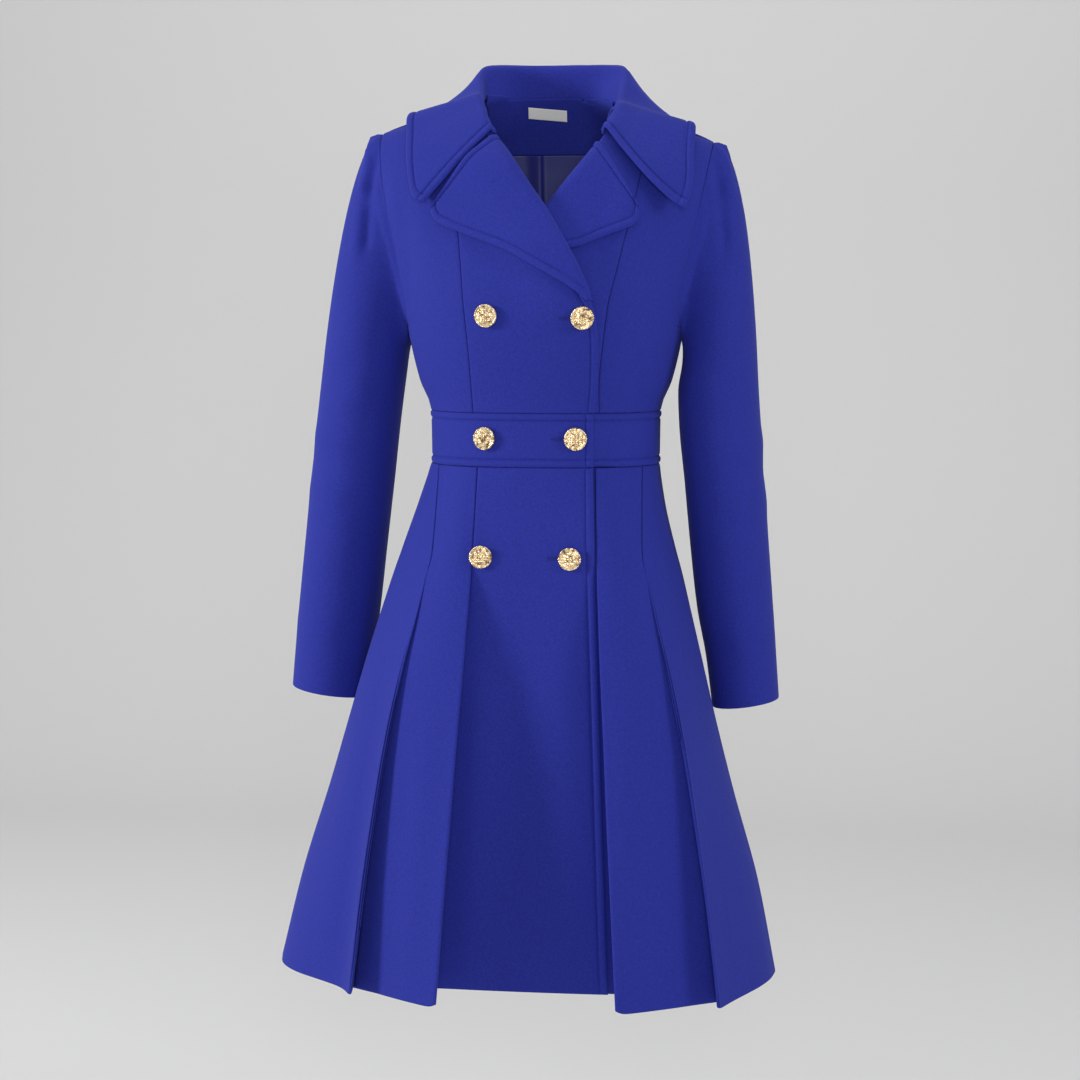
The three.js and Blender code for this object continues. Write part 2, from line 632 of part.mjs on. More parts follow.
const footX = (side, behind) => (z) => {
  const places = skirtPlaces(z, side, behind);
  return side * (legFoot(places)[0] - legGap(places.open, 1.2));
};

function frontEdgeX(z) {
  return lerp(62, 82, (WAIST_BOTTOM - z) / (WAIST_BOTTOM - HEM));
}

function skirt() {
  middlePanel('skirt_centre_front_right', false, footX(-1, false), frontEdgeX, 0);
  middlePanel('skirt_centre_front_left', false, () => UNDER_EDGE, footX(1, false), FRONT_OVERLAP);
  middlePanel('skirt_centre_back', true, footX(-1, true), footX(1, true), 0);
  for (const side of [-1, 1]) {
    const name = side < 0 ? 'right' : 'left';
    pleatPanel(`skirt_pleat_front_${name}`, side, false);
    pleatPanel(`skirt_pleat_back_${name}`, side, true);
    sidePanel(`skirt_side_front_${name}`, side, false);
    sidePanel(`skirt_side_back_${name}`, side, true);
  }
}

// Waistband
function waistband() {
  const heights = [WAIST_TOP, -343, -363, WAIST_BOTTOM];
  const strip = (name, from, to, lap) => {
    const outer = [];
    const inner = [];
    for (const z of heights) {
      const outerRow = [];
      const innerRow = [];
      for (let j = 0; j <= 14; j += 1) {
        const turn = lerp(from(z), to(z), j / 14);
        const side = turn < 0 ? -1 : 1;
        const point = torso(side, Math.abs(turn), z);
        const normal = torsoNormal(side, Math.abs(turn), z).setZ(0).normalize();
        point.addScaledVector(normal, -lap(point.x, z));
        point.y += Math.abs(turn) > 90 || (name === 'waistband_back') ? half : -half;
        outerRow.push(point);
        innerRow.push(point.clone().addScaledVector(normal, -CLOTH));
      }
      outer.push(outerRow);
      inner.push(innerRow);
    }
    wall(name, outer, inner, WOOL);
  };
  strip('waistband_right', () => -90, (z) => turnOf(62.5, z, false), () => 0);
  strip('waistband_left', (z) => -turnOf(UNDER_EDGE, z, false), () => 90, underLap);
  bandBack(heights);
}

function bandBack(heights) {
  const outer = [];
  const inner = [];
  for (const z of heights) {
    const outerRow = [];
    const innerRow = [];
    for (let j = 0; j <= 18; j += 1) {
      const turn = lerp(-90, 90, j / 18);
      const side = turn < 0 ? -1 : 1;
      const point = torso(side, 180 - Math.abs(turn), z);
      const normal = torsoNormal(side, 180 - Math.abs(turn), z).setZ(0).normalize();
      point.y += half;
      outerRow.push(point);
      innerRow.push(point.clone().addScaledVector(normal, -CLOTH));
    }
    outer.push(outerRow);
    inner.push(innerRow);
  }
  wall('waistband_back', outer, inner, WOOL);
}

// Sleeves start face to face with the rims of the armhole
function sleeve(side, armhole) {
  const name = side < 0 ? 'right' : 'left';
  const front = armhole.front.outer.map((row, i) => [row.at(-1), armhole.front.inner[i].at(-1)]);
  const back = armhole.back.outer.map((row, i) => [row.at(-1), armhole.back.inner[i].at(-1)]);
  const top = front.length - 1;
  const mean = (a, b) => [a[0].clone().lerp(b[0], 0.5), a[1].clone().lerp(b[1], 0.5)];
  const ring = [mean(front[top], back[top])];
  for (let i = top - 1; i > LOWER_ROWS; i -= 1) ring.push(front[i]);
  ring.push(mean(front[LOWER_ROWS], back[LOWER_ROWS]));
  for (let i = LOWER_ROWS + 1; i < top; i += 1) ring.push(back[i]);
  const count = ring.length;
  const bottom = count / 2;
  const across = ring.map(([out, inn], k) => {
    const before = ring[(k + count - 1) % count][0];
    const after = ring[(k + 1) % count][0];
    const normal = out.clone().sub(inn).normalize();
    const way = after.clone().sub(before).cross(normal).normalize();
    return way.multiplyScalar(-side);
  });
  const sections = SLEEVE[name];
  const section = (k, z) => {
    const turn = k <= bottom ? (Math.PI * k) / bottom : Math.PI + (Math.PI * (k - bottom)) / bottom;
    const get = (key) => column(sections, key, z);
    const middle = (get('outer') + get('inner')) / 2;
    const reach = Math.abs(get('outer') - get('inner')) / 2;
    const x = middle + side * reach * Math.cos(turn);
    const y = get('back') - get('depth') * Math.sin(turn);
    const tilt = 0.14 * Math.cos(turn) * reach;
    return new THREE.Vector3(x, y, z + tilt);
  };
  const rows = [];
  const steps = [0, 0.05, 0.12, 0.22, 0.35, 0.5, 0.68, 0.85];
  const first = sections[0].z;
  for (const t of steps) {
    rows.push(ring.map(([out], k) => {
      const high = (1 + Math.cos((2 * Math.PI * k) / count)) / 2;
      const start = out.clone().addScaledVector(across[k], SEAM + 0.05);
      const puff = across[k].clone().add(new THREE.Vector3(0, 0, 0.28 * high));
      const startPull = puff.multiplyScalar(lerp(14, 105, high));
      const end = section(k, first);
      const down = section(k, first - 10).sub(end).normalize();
      const endPull = down.multiplyScalar(lerp(30, 250, high));
      return new THREE.Vector3()
        .addScaledVector(start, 2 * t ** 3 - 3 * t ** 2 + 1)
        .addScaledVector(startPull, t ** 3 - 2 * t ** 2 + t)
        .addScaledVector(end, -2 * t ** 3 + 3 * t ** 2)
        .addScaledVector(endPull, t ** 3 - t ** 2);
    }));
  }
  const cuff = CUFF[name];
  for (const z of [first, -300, -335, -370, -410, -450, -490, -530, -570, -612, cuff]) {
    rows.push(ring.map((point, k) => section(k, z)));
  }
  const inner = rows.map((row, i) => row.map((point, k) => {
    if (i === 0) return ring[k][1].clone().addScaledVector(across[k], SEAM + 0.05);
    const down = (rows[i + 1] ?? row)[k].clone().sub(rows[i - 1][k]);
    const round = row[(k + 1) % count].clone().sub(row[(k + count - 1) % count]);
    const normal = down.cross(round).normalize().multiplyScalar(side * CLOTH);
    return point.clone().add(normal);
  }));
  wall(`sleeve_${name}`, rows, inner, WOOL, true);
}

// Collar
function collarCurve(points) {
  return new THREE.CatmullRomCurve3(points, false, 'centripetal');
}

// The collar's lower edge, inside the neck edge of the fronts and on that of the back
function neckSeam() {
  return COLLAR.map((row) => {
    const { position, normal } = row.back
      ? backSurface(row.nx, row.nz) : frontSurface(row.nx, row.nz, () => 0);
    const inward = new THREE.Vector3(-position.x, 15 - position.y, 0).normalize();
    return position.addScaledVector(normal, row.back ? 0.2 : 1)
      .addScaledVector(inward, row.back ? 0.6 : COLLAR_CLOTH)
      .add(new THREE.Vector3(0, 0, 0.8));
  });
}

// The stand rises from the neck seam, turns over at the fold and falls to the outer edge
function collar() {
  const stations = 32;
  const neckCurve = collarCurve(neckSeam());
  const foldCurve = collarCurve(COLLAR.map((row) => new THREE.Vector3(row.fx, row.fy, row.fz)));
  const edgeCurve = collarCurve(COLLAR.map((row) => new THREE.Vector3(row.ex, row.ey, row.ez)));
  const outer = [];
  for (let i = 0; i <= stations; i += 1) {
    const share = i / stations;
    const neck = neckCurve.getPoint(share);
    const fold = foldCurve.getPoint(share);
    const edge = edgeCurve.getPoint(share);
    const out = edge.clone().sub(fold).setZ(0).normalize();
    const high = clamp((fold.z - neck.z) / 2, 2.5, 6);
    const place = (outward, up) => fold.clone().addScaledVector(out, outward)
      .add(new THREE.Vector3(0, 0, up));
    const inFold = place(-0.6 * high, -high);
    const outFold = place(high, -0.35 * high);
    const row = [neck, neck.clone().lerp(inFold, 0.55), inFold, fold, outFold];
    for (const part of [0.2, 0.4, 0.6, 0.8]) {
      const sag = 12 * part * (1 - part);
      row.push(outFold.clone().lerp(edge, part).add(new THREE.Vector3(0, 0, -sag)));
    }
    row.push(edge);
    outer.push(row.map((point, j) => {
      if (j < 3) return point;
      return clearOfTorso(point, COLLAR_CLOTH + lerp(2, 6, (j - 3) / 6));
    }));
  }
  const inner = thicken(outer, COLLAR_CLOTH, -1);
  wall('collar', outer, inner, WOOL);
}

// A point moved out until it lies a given way outside the torso
function clearOfTorso(point, reach) {
  const side = point.x < 0 ? -1 : 1;
  const moved = point.clone();
  for (let pass = 0; pass < 3; pass += 1) {
    const behind = moved.y > RIDGE_Y;
    const z = Math.min(moved.z, shoulderHeight(moved.x));
    const turn = turnOf(moved.x, z, behind);
    const surface = torso(side, turn, z);
    const normal = torsoNormal(side, clamp(turn, 0.5, 179.5), z);
    const away = moved.clone().sub(surface).dot(normal);
    if (away < reach) moved.addScaledVector(normal, reach - away);
  }
  return moved;
}

// A sheet moved along its own normals
function thicken(sheet, thick, sign) {
  return sheet.map((row, i) => row.map((point, j) => {
    const along = (sheet[i + 1] ?? row)[j].clone().sub((sheet[i - 1] ?? row)[j]);
    const cross = (row[j + 1] ?? point).clone().sub(row[j - 1] ?? point);
    return point.clone().addScaledVector(along.cross(cross).normalize(), sign * thick);
  }));
}

// A point on the front of the coat under a lapel, with the way out of the cloth
function frontSurface(x, z, lift) {
  const side = x < 0 ? -1 : 1;
  const turn = turnOf(x, z, false);
  const position = torso(side, turn, z);
  const normal = torsoNormal(side, Math.max(turn, 0.5), z);
  position.x = x;
  position.y -= half;
  position.addScaledVector(normal, lift(x, z));
  return { position, normal };
}

// A lapel turned back from the roll, lying on its front
function lapel(name, side, lift) {
  const rollPairs = [...ROLL[name]].reverse();
  const rows = 13;
  const outer = [];
  const inner = [];
  for (let i = 0; i < rows; i += 1) {
    const share = i / (rows - 1);
    const roll = along(rollPairs, share);
    const edge = along(LAPEL_EDGE[name], share);
    const way = edge.clone().sub(roll);
    const width = Math.max(way.length(), LAPEL_LEAST);
    way.normalize();
    if (way.x * side < 0.3) way.set(side, -0.1).normalize();
    const fold = 4.5;
    const reaches = [0, 0.3, fold, ...[0.33, 0.66, 1].map((part) => lerp(fold, width, part))];
    const outerRow = [];
    const innerRow = [];
    reaches.forEach((reach, j) => {
      const part = reach / width;
      const bow = (side < 0 ? 5.5 : 3) * 4 * part * (1 - part) * (1 - share) ** 8;
      const surface = frontSurface(roll.x + way.x * reach, roll.y + way.y * reach + bow, lift);
      const raise = smooth(0.75, 0.9, share);
      const layer = LAPEL_LAYER[name];
      const under = j === 0 ? lerp(-CLOTH, layer, raise) : layer;
      const thick = [0.4 * raise, 0.6][j] ?? 1;
      const out = under + thick * LAPEL_CLOTH;
      const tuck = j < 2 ? side * 3 : 0;
      outerRow.push(surface.position.clone().addScaledVector(surface.normal, out));
      innerRow.push(surface.position.clone().addScaledVector(surface.normal, under)
        .add(new THREE.Vector3(tuck, 0, 0)));
    });
    outer.push(outerRow);
    inner.push(innerRow);
  }
  wall(`lapel_${name}`, outer, inner, WOOL);
}

// Pieces that show inside the neck lie on the inner face of the back
function insideBack(name, place, depth, thick, material, fold = () => 0) {
  const { from, to, topZ, bottomZ, columns } = place;
  const outer = [];
  const inner = [];
  for (let i = 0; i <= 4; i += 1) {
    const outerRow = [];
    const innerRow = [];
    for (let j = 0; j <= columns; j += 1) {
      const x = lerp(from, to, j / columns);
      const z = lerp(topZ(x), bottomZ(x), i / 4);
      const { position, normal } = backSurface(x, z);
      outerRow.push(position.clone().addScaledVector(normal, -depth - fold(x)));
      innerRow.push(position.clone().addScaledVector(normal, -depth - thick - fold(x)));
    }
    outer.push(outerRow);
    inner.push(innerRow);
  }
  wall(name, outer, inner, material);
}

function neckPieces() {
  const depth = CLOTH + LINING_LAYER;
  insideBack('back_neck_facing', {
    from: -68, to: 70, topZ: (x) => backTop(x) - 1.5, bottomZ: () => FACING_END, columns: 14,
  }, depth, LINING, WOOL);
  const pleat = (x) => PLEAT_DEPTH * smooth(PLEAT_X - 18, PLEAT_X, x)
    * smooth(PLEAT_X + 3, PLEAT_X, x);
  insideBack('back_lining', {
    from: -92, to: 92, topZ: () => FACING_END - SEAM, bottomZ: () => LINING_END, columns: 24,
  }, depth, LINING, LINING_CLOTH, pleat);
  const tilt = (x) => LABEL.turn * (x - LABEL.x);
  insideBack('neck_label', {
    from: LABEL.x - LABEL.wide / 2,
    to: LABEL.x + LABEL.wide / 2,
    topZ: (x) => LABEL.z + LABEL.high / 2 + tilt(x),
    bottomZ: (x) => LABEL.z - LABEL.high / 2 + tilt(x),
    columns: 4,
  }, depth + LINING + LAYER, LABEL.thick, LABEL_CLOTH);
}

// Buttons stand on the right front, each with a short shank, a flat back and a domed face
function button({ name, x, z }) {
  const { radius, rim, dome, shank, shankRadius } = BUTTON;
  const profile = [[0, 0], [shankRadius, 0], [shankRadius, shank], [radius - rim, shank],
    [radius, shank + 1], [radius, shank + 1.8], [radius - rim, shank + 3],
    [radius - 2 * rim, shank + 2.9], [radius * 0.45, dome - 0.6], [0, dome]];
  const points = profile.map(([r, high]) => new THREE.Vector2(r, high));
  const geometry = new THREE.LatheGeometry(points, BUTTON.sides);
  const mesh = add(name, geometry, GOLD);
  let place;
  if (z > WAIST_BOTTOM) place = frontSurface(x, z, rollLift);
  else {
    const front = (at) => -middleDepth(skirtPlaces(at, x < 0 ? -1 : 1, false), x);
    const normal = new THREE.Vector3(0, -1, (front(z - 5) - front(z + 5)) / -10).normalize();
    place = { position: new THREE.Vector3(x, front(z), z), normal };
  }
  mesh.position.copy(place.position).addScaledVector(place.normal, SEAM);
  mesh.quaternion.setFromUnitVectors(new THREE.Vector3(0, 1, 0), place.normal);
}

const armholes = bodice();
skirt();
waistband();
sleeve(-1, armholes.right);
sleeve(1, armholes.left);
collar();
lapel('right', -1, rollLift);
lapel('left', 1, (x, z) => -underLap(x, z));
neckPieces();
BUTTONS.forEach(button);
export default coat;
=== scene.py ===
import math

import bpy
import numpy as np
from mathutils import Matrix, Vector


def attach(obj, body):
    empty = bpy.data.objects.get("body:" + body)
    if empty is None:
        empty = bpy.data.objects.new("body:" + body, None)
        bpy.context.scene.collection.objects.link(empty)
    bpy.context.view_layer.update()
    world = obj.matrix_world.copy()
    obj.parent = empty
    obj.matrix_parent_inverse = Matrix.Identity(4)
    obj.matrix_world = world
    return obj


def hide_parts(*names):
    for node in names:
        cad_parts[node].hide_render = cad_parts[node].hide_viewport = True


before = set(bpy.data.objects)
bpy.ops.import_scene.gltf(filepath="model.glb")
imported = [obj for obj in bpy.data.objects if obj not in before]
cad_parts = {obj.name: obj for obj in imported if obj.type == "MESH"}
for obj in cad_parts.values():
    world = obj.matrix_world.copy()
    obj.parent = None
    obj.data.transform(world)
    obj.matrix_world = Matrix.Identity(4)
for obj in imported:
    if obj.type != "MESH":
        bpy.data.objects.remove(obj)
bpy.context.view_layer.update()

# Driving dimensions
MM = 0.001
SEAM = 0.3
CLOTH = 2.5
LINING = 1.5
COLLAR_CLOTH = 3.5
LAPEL_CLOTH = 3.6
FRONT_OVERLAP = 3.4
LINING_LAYER = 1.3
LAPEL_LAYER = {"right": 2.8, "left": 2.2}
NECK_SET_BACK = {"right": 2, "left": 4}
WAIST_TOP = -324
WAIST_BOTTOM = -382
STITCH_END = -478
HEM = -956
NECK_BACK = 20.5
RIDGE_Y = 8
SHOULDER_DROP = 110
SEAM_TURN = 6.5
UNDER_EDGE = -50
ROLL_SET_BACK = 5.0
LAPEL_LEAST = 8
FACING_END = -38
LINING_END = -125
PLEAT_X = -16
NECK_END_SHIFT = 6.0
HEM_ROUND = 4.5
LEG_TUCK = 1.2
STITCH_INSET = 9.0
BAND_INSET = 8.0
EDGE_ROLL = 1.9
SEAM_ROLL = 1.2
STITCH_PUFF = 0.95
STITCH_GROOVE = 1.15
GROOVE_HALF = 1.2
SEAM_PUFF = 0.35
SEAM_PUFF_AT = 4.0
EDGE_FALL = 0.44
SEAM_FALL = 0.30
ROLL_LIFT = 6.5
TURN_OVER = 6.0
FACING_RISE = 3
FACING_END_RISE = 5
COLLAR_SAG = 12
COLLAR_END_SAG = 52
COLLAR_STAND_OFF = {"right": 5, "left": 14}
SIDES = {"right": -1, "left": 1}


def table(names, rows):
    """A short table as one array for each named column."""
    values = np.array(rows, float)
    return {name: values[:, k] for k, name in enumerate(names.split())}


# Torso sections: half width, depth to the front, depth to the back and squareness
TORSO = table("z half front back square", [
    (-390, 126.5, 97, 80, 2.3),
    (-324, 127.5, 98, 80, 2.3),
    (-290, 140, 105, 84, 2.3),
    (-250, 149.5, 114, 89, 2.3),
    (-205, 157, 119, 93, 2.3),
    (-160, 166, 112, 96, 2.3),
    (-110, 180, 96, 97, 2.35),
    (-60, 195, 82, 92, 2.4),
    (-20, 205, 72, 84.5, 2.4),
    (30, 210, 64, 72, 2.4),
])

# Skirt sections: p1 and p2 are the front pleat ridges, b1 and b2 the back ones
SKIRT = table("z p1x p1y p2x p2y b1x b1y b2x b2y wide_r wide_l front back edge back_edge", [
    (-382.3, 64, 87.7, 112.5, 52, 64, 72, 112, 43, 127.5, 126, 97, 80, 87.7, 72),
    (-430, 65.5, 97, 113.5, 68, 66, 83, 115, 58, 144, 133.5, 102, 89, 97, 83),
    (-478, 67, 105, 115.5, 84, 68, 92, 118, 71, 161.5, 145, 107, 96, 105, 92),
    (-505, 68, 111, 121, 92, 70, 97, 122, 77, 171.5, 152.5, 108, 98, 105.5, 92.5),
    (-545, 70, 120, 130, 101, 72, 104, 129, 84, 185, 162, 109, 99, 106, 93.5),
    (-600, 73, 131, 144, 113, 75, 113, 139, 93, 203, 175, 110, 101, 107, 95),
    (-670, 77.5, 144, 159, 125, 79, 125, 150, 103, 224, 191.5, 111, 103, 108, 97),
    (-750, 82, 158, 172, 137, 84, 138, 161, 114, 248, 212, 112, 105, 109.5, 99.5),
    (-850, 88, 173, 186, 149, 90, 152, 172, 125, 280, 240, 113, 107, 111, 102),
    (-956, 94, 186, 198, 158, 96, 165, 182, 134, 307, 261, 114, 108, 112, 104),
])

# The side panel's way from its pleat to the side seam, as shares of its width and depth
SIDE_CURVE = table("waist_x waist_y right_x right_y left_x left_y", [
    (0.45, 0.22, 0.15, 0.23, 0.24, 0.22),
    (0.75, 0.45, 0.43, 0.40, 0.50, 0.42),
    (0.92, 0.68, 0.73, 0.57, 0.76, 0.62),
    (0.99, 0.85, 0.94, 0.77, 0.94, 0.82),
])

# Seams of the bodice as x and z, from the waist to the chest and from there to the shoulder
PRINCESS = {
    "right": {
        "lower": [(-69, WAIST_TOP), (-70, -290), (-72, -250), (-76, -205)],
        "upper": [(-76, -205), (-80, -160), (-86, -115), (-99, -60), (-118, -2)],
    },
    "left": {
        "lower": [(69, WAIST_TOP), (69.5, -290), (74, -250), (80, -205)],
        "upper": [(80, -205), (88, -170), (97, -130), (109, -75), (120, -12)],
    },
}
ROLL = {
    "right": [(63, -203), (56, -184), (45, -160), (30, -134), (13, -106), (-7, -78), (-32, -42),
              (-47, -25)],
    "left": [(-6, -122), (16, -93), (31, -74), (46, -55), (62, -33)],
}
NECK = {
    "right": [(-47, -25), (-58, -11), (-68, 4), (-75, 17)],
    "left": [(62, -33), (69, -18), (75, -3), (79, 8)],
}
FRONT_LOWER = {
    "right": [(64, WAIST_TOP), (68, -287), (69, -240), (63, -208)],
    "left": [(UNDER_EDGE, WAIST_TOP), (UNDER_EDGE, -250), (-40, -190), (-14, -135)],
}

# Armholes as degrees from the middle of the front and height
FRONT_ARMHOLE = [(90, -238), (80, -233), (74.5, -212), (72.5, -170), (69.5, -120), (66, -75)]
BACK_ARMHOLE = [(90, -238), (100, -233), (106, -212), (109, -170), (111, -120), (114, -75)]

# Shoulder seams: x and z at the neck and at the armhole
SHOULDER = {"right": (75, 17, 183, -19), "left": (79, 8, 184, -31)}

# Collar stations from the right front round the back to the left front:
# n is the neck seam, f the fold and e the outer edge
COLLAR = table("nx nz behind fx fy fz ex ey ez", [
    (-48, -24, 0, -51, -62, -19, -118, -84, -99),
    (-56, -13, 0, -58, -48, -5, -132, -80, -94),
    (-62.5, -4, 0, -63, -32, 7, -137, -66, -78),
    (-68.5, 5, 0, -69, -12, 20, -143, -42, -46),
    (-75, 16.8, 0, -74, 14, 36, -148, -8, -10),
    (-71, 18, 1, -77, 34, 48, -150, 34, 0),
    (-62, 19, 1, -74, 54, 58, -137, 74, -8),
    (-46, 20, 1, -57, 70, 61, -100, 101, -18),
    (-24, 20.5, 1, -28, 79, 61, -50, 112, -23),
    (0, 20.5, 1, 2, 82, 61, 2, 115, -25),
    (24, 20.5, 1, 32, 79, 61, 54, 112, -25),
    (46, 20, 1, 61, 70, 60, 104, 101, -23),
    (62, 18, 1, 79, 54, 56, 142, 74, -18),
    (73, 11, 1, 83, 34, 43, 156, 34, -13),
    (79, 7.8, 0, 81, 14, 27, 158, -8, -26),
    (75.5, -2, 0, 78, -10, 10, 160, -42, -54),
    (70.5, -15, 0, 73, -30, -5, 161, -66, -84),
    (65, -28, 0, 66, -46, -20, 158, -84, -105),
])

# Lapel outer edges as x and z, from the tip to the end of the roll
LAPEL_EDGE = {
    "right": [(-110, -100), (-113, -106), (-111, -114), (-103, -122), (-72, -135), (-33, -150),
              (0, -168), (34, -187), (50, -198), (58, -203)],
    "left": [(106, -100), (109, -110), (107, -121), (98, -127), (71, -137), (45, -147),
             (22, -148), (0, -130)],
}

# Sleeve sections below the armhole: outer and inner x at each height, and how far back
SLEEVE = {
    "right": table("z outer inner back depth", [
        (-268, -251, -158, 8, 56),
        (-330, -259.5, -167, 12, 55),
        (-400, -269, -176, 18, 54),
        (-470, -278.5, -186, 27, 52),
        (-540, -288.5, -196, 38, 50),
        (-600, -297, -206, 49, 48),
        (-654, -304, -214, 58, 46),
    ]),
    "left": table("z outer inner back depth", [
        (-268, 233.5, 151, 8, 56),
        (-298, 235, 146.5, 10, 56),
        (-330, 237, 147.5, 12, 55),
        (-400, 242, 154, 18, 54),
        (-470, 247, 160, 28, 52),
        (-540, 252, 167, 42, 49),
        (-600, 256, 177, 56, 46),
        (-660, 260, 184, 67, 44),
    ]),
}

BUTTONS = [
    ("button_right_top", -50, -219),
    ("button_left_top", 52, -221),
    ("button_right_middle", -55, -351),
    ("button_left_middle", 43, -351),
    ("button_right_bottom", -58, -478),
    ("button_left_bottom", 39, -479),
]
BUTTON_RADIUS = 12.5
DOME = 5.2
DOME_DROP = 1.3
WEAVE = {"height": 0.75, "pitch": 1.25}
PETALS = {"height": 0.9, "pairs": 3}
MOAT = {"radius": 8.1, "depth": 0.9, "half": 0.7}
FACE_EDGE = 9.5
REEDS = {"count": 28, "depth": 0.42}
RIM = {"tuck": 0.75, "level": 3.0, "height": 1.5}

# Shank and back of a button as radius and height
BUTTON_BACK = [(0.05, 0.0), (2.9, 0.0), (3.0, 1.2), (10.6, 1.2), (11.8, 1.6), (12.4, 2.4)]

# Buttonholes: half the length, distance between threads and how far the hole sits from its button
HOLE_HALF = 11.0
HOLE_PITCH = 0.75
HOLE_SET = 14
HOLE_THREAD = {"length": 1.9, "radius": 0.42, "beside": 1.05, "above": 0.25}

# Cross-section of a buttonhole's slit, a sheet of painted shade: across the hole and above the
# cloth
SLIT = [(-0.45, 0.05), (0.45, 0.05), (0.45, 0.35), (-0.45, 0.35)]
STITCH = {"pitch": 4.4, "length": 3.3, "radius": 0.36, "above": 0.15}
LABEL = {"x": -7, "z": 7, "wide": 44, "high": 12.5, "thick": 0.8, "turn": -0.09,
         "gap": 0.5}


# Small tools
def lerp(a, b, share):
    return a + (b - a) * share


def hermite(start, start_pull, end, end_pull, t):
    """A smooth curve from one value to another that leaves and arrives at given slopes."""
    return ((2 * t**3 - 3 * t**2 + 1) * start + (t**3 - 2 * t**2 + t) * start_pull
            + (3 * t**2 - 2 * t**3) * end + (t**3 - t**2) * end_pull)


def smooth(low, high, value):
    share = np.clip((np.asarray(value, float) - low) / (high - low), 0, 1)
    return share * share * (3 - 2 * share)


def sign_of(values):
    return np.where(np.asarray(values) < 0, -1.0, 1.0)


def unit(vectors):
    return vectors / np.maximum(np.linalg.norm(vectors, axis=-1, keepdims=True), 1e-9)


def column(rows, name, z):
    """Value of one column of a table at a height, by a smooth curve that never overshoots."""
    order = np.argsort(rows["z"])
    zs, values = rows["z"][order], rows[name][order]
    slopes = np.diff(values) / np.diff(zs)
    tangents = np.concatenate([slopes[:1], np.zeros(len(zs) - 2), slopes[-1:]])
    before, after = slopes[:-1], slopes[1:]
    same = before * after > 0
    tangents[1:-1][same] = (2 * before * after)[same] / (before + after)[same]
    at = np.clip(z, zs[0], zs[-1])
    i = np.clip(np.searchsorted(zs, at, side="right") - 1, 0, len(zs) - 2)
    span = zs[i + 1] - zs[i]
    t = (at - zs[i]) / span
    return hermite(values[i], span * tangents[i], values[i + 1], span * tangents[i + 1], t)


def spline(points, steps=40):
    """A dense smooth line through points."""
    p = np.asarray(points, float)
    p = np.vstack([p[:1], p, p[-1:]])
    t = np.linspace(0, 1, steps, endpoint=False)[:, None]
    parts = []
    for a, b, c, d in zip(p[:-3], p[1:-2], p[2:-1], p[3:]):
        start, end = (c - a) / 2, (d - b) / 2
        parts.append((2 * b - 2 * c + start + end) * t**3
                     + (3 * c - 3 * b - 2 * start - end) * t**2 + start * t + b)
    return np.vstack(parts + [p[-1:]])


def lengths_of(line):
    """Distance along a line at each of its points."""
    steps = np.linalg.norm(np.diff(line, axis=0), axis=1)
    return np.concatenate([[0], np.cumsum(steps)])


def at_lengths(line, lengths, wanted):
    return np.stack([np.interp(wanted, lengths, line[:, k]) for k in range(line.shape[1])], -1)


def along(points, share):
    """Points evenly spaced along a smooth curve."""
    line = spline(points)
    lengths = lengths_of(line)
    return at_lengths(line, lengths, np.clip(share, 0, 1) * lengths[-1])


# Torso surface
def shoulder_height(x):
    heights = []
    for side in SIDES:
        neck_x, neck_z, tip_x, tip_z = SHOULDER[side]
        heights.append(lerp(neck_z, tip_z, (np.abs(x) - neck_x) / (tip_x - neck_x)))
    return np.where(np.asarray(x) < 0, *heights)


def turn_of(x, z, behind):
    """Signed turn in degrees round the torso at which it has a given x."""
    share = np.clip(np.abs(x) / column(TORSO, "half", z), 0, 1)
    turn = np.degrees(np.arcsin(share ** (column(TORSO, "square", z) / 2)))
    return sign_of(x) * np.where(behind, 180 - turn, turn)


def torso(turn, z):
    angle = np.radians(np.abs(turn))
    power = 2 / column(TORSO, "square", z)
    x = sign_of(turn) * column(TORSO, "half", z) * np.abs(np.sin(angle)) ** power
    behind = np.abs(turn) > 90
    depth = np.where(behind, column(TORSO, "back", z), column(TORSO, "front", z))
    ring = np.where(behind, 1, -1) * depth * np.abs(np.cos(angle)) ** power
    drop = np.clip((shoulder_height(x) - z) / SHOULDER_DROP, 0, 1)
    arch = np.sqrt(1 - (1 - drop) ** 2)
    neck = np.where(behind, smooth(100, 30, np.abs(x)), 0)
    y = lerp(RIDGE_Y, ring, lerp(arch, 1, neck))
    return np.stack(np.broadcast_arrays(x, y, z), -1).astype(float)


def torso_normal(turn, z):
    step = 0.4
    side, size = sign_of(turn), np.abs(turn)
    around = torso(side * np.minimum(size + step, 179.9), z) - torso(
        side * np.maximum(size - step, 0.1), z)
    up = torso(turn, z + step) - torso(turn, z - step)
    normal = unit(np.cross(around * side[..., None], up))
    wrong = np.where(size > 90, normal[..., 1] < -0.2, normal[..., 1] > 0.2)
    normal = np.where(wrong[..., None], -normal, normal)
    drop = shoulder_height(torso(turn, z)[..., 0]) - z
    flat = (drop < 1) | (np.abs(size - 90) < 0.5)
    normal[..., 1] = np.where(flat, 0, normal[..., 1])
    return unit(normal)


def clear_normal(turn, z):
    """The way out of the torso, never right on a centre line, where left and right meet."""
    return torso_normal(sign_of(turn) * np.clip(np.abs(turn), 0.5, 179.5), z)


def roll_lift(x, z):
    """How far the right front stands off over the left lapel beside its roll."""
    gaps = [np.hypot(x - rx, z - rz) for rx, rz in along(ROLL["right"], np.linspace(0, 1, 30))]
    gap = np.min(gaps, axis=0)
    return ROLL_LIFT * smooth(80, 30, gap) * smooth(-250, -190, z) * smooth(-28, -60, z)


def under_lap(x, z):
    """How far the left front lies in under the right one."""
    return -FRONT_OVERLAP * smooth(98, 70, x) * smooth(-50, -110, z)


def no_lap(x, z):
    return 0 * x


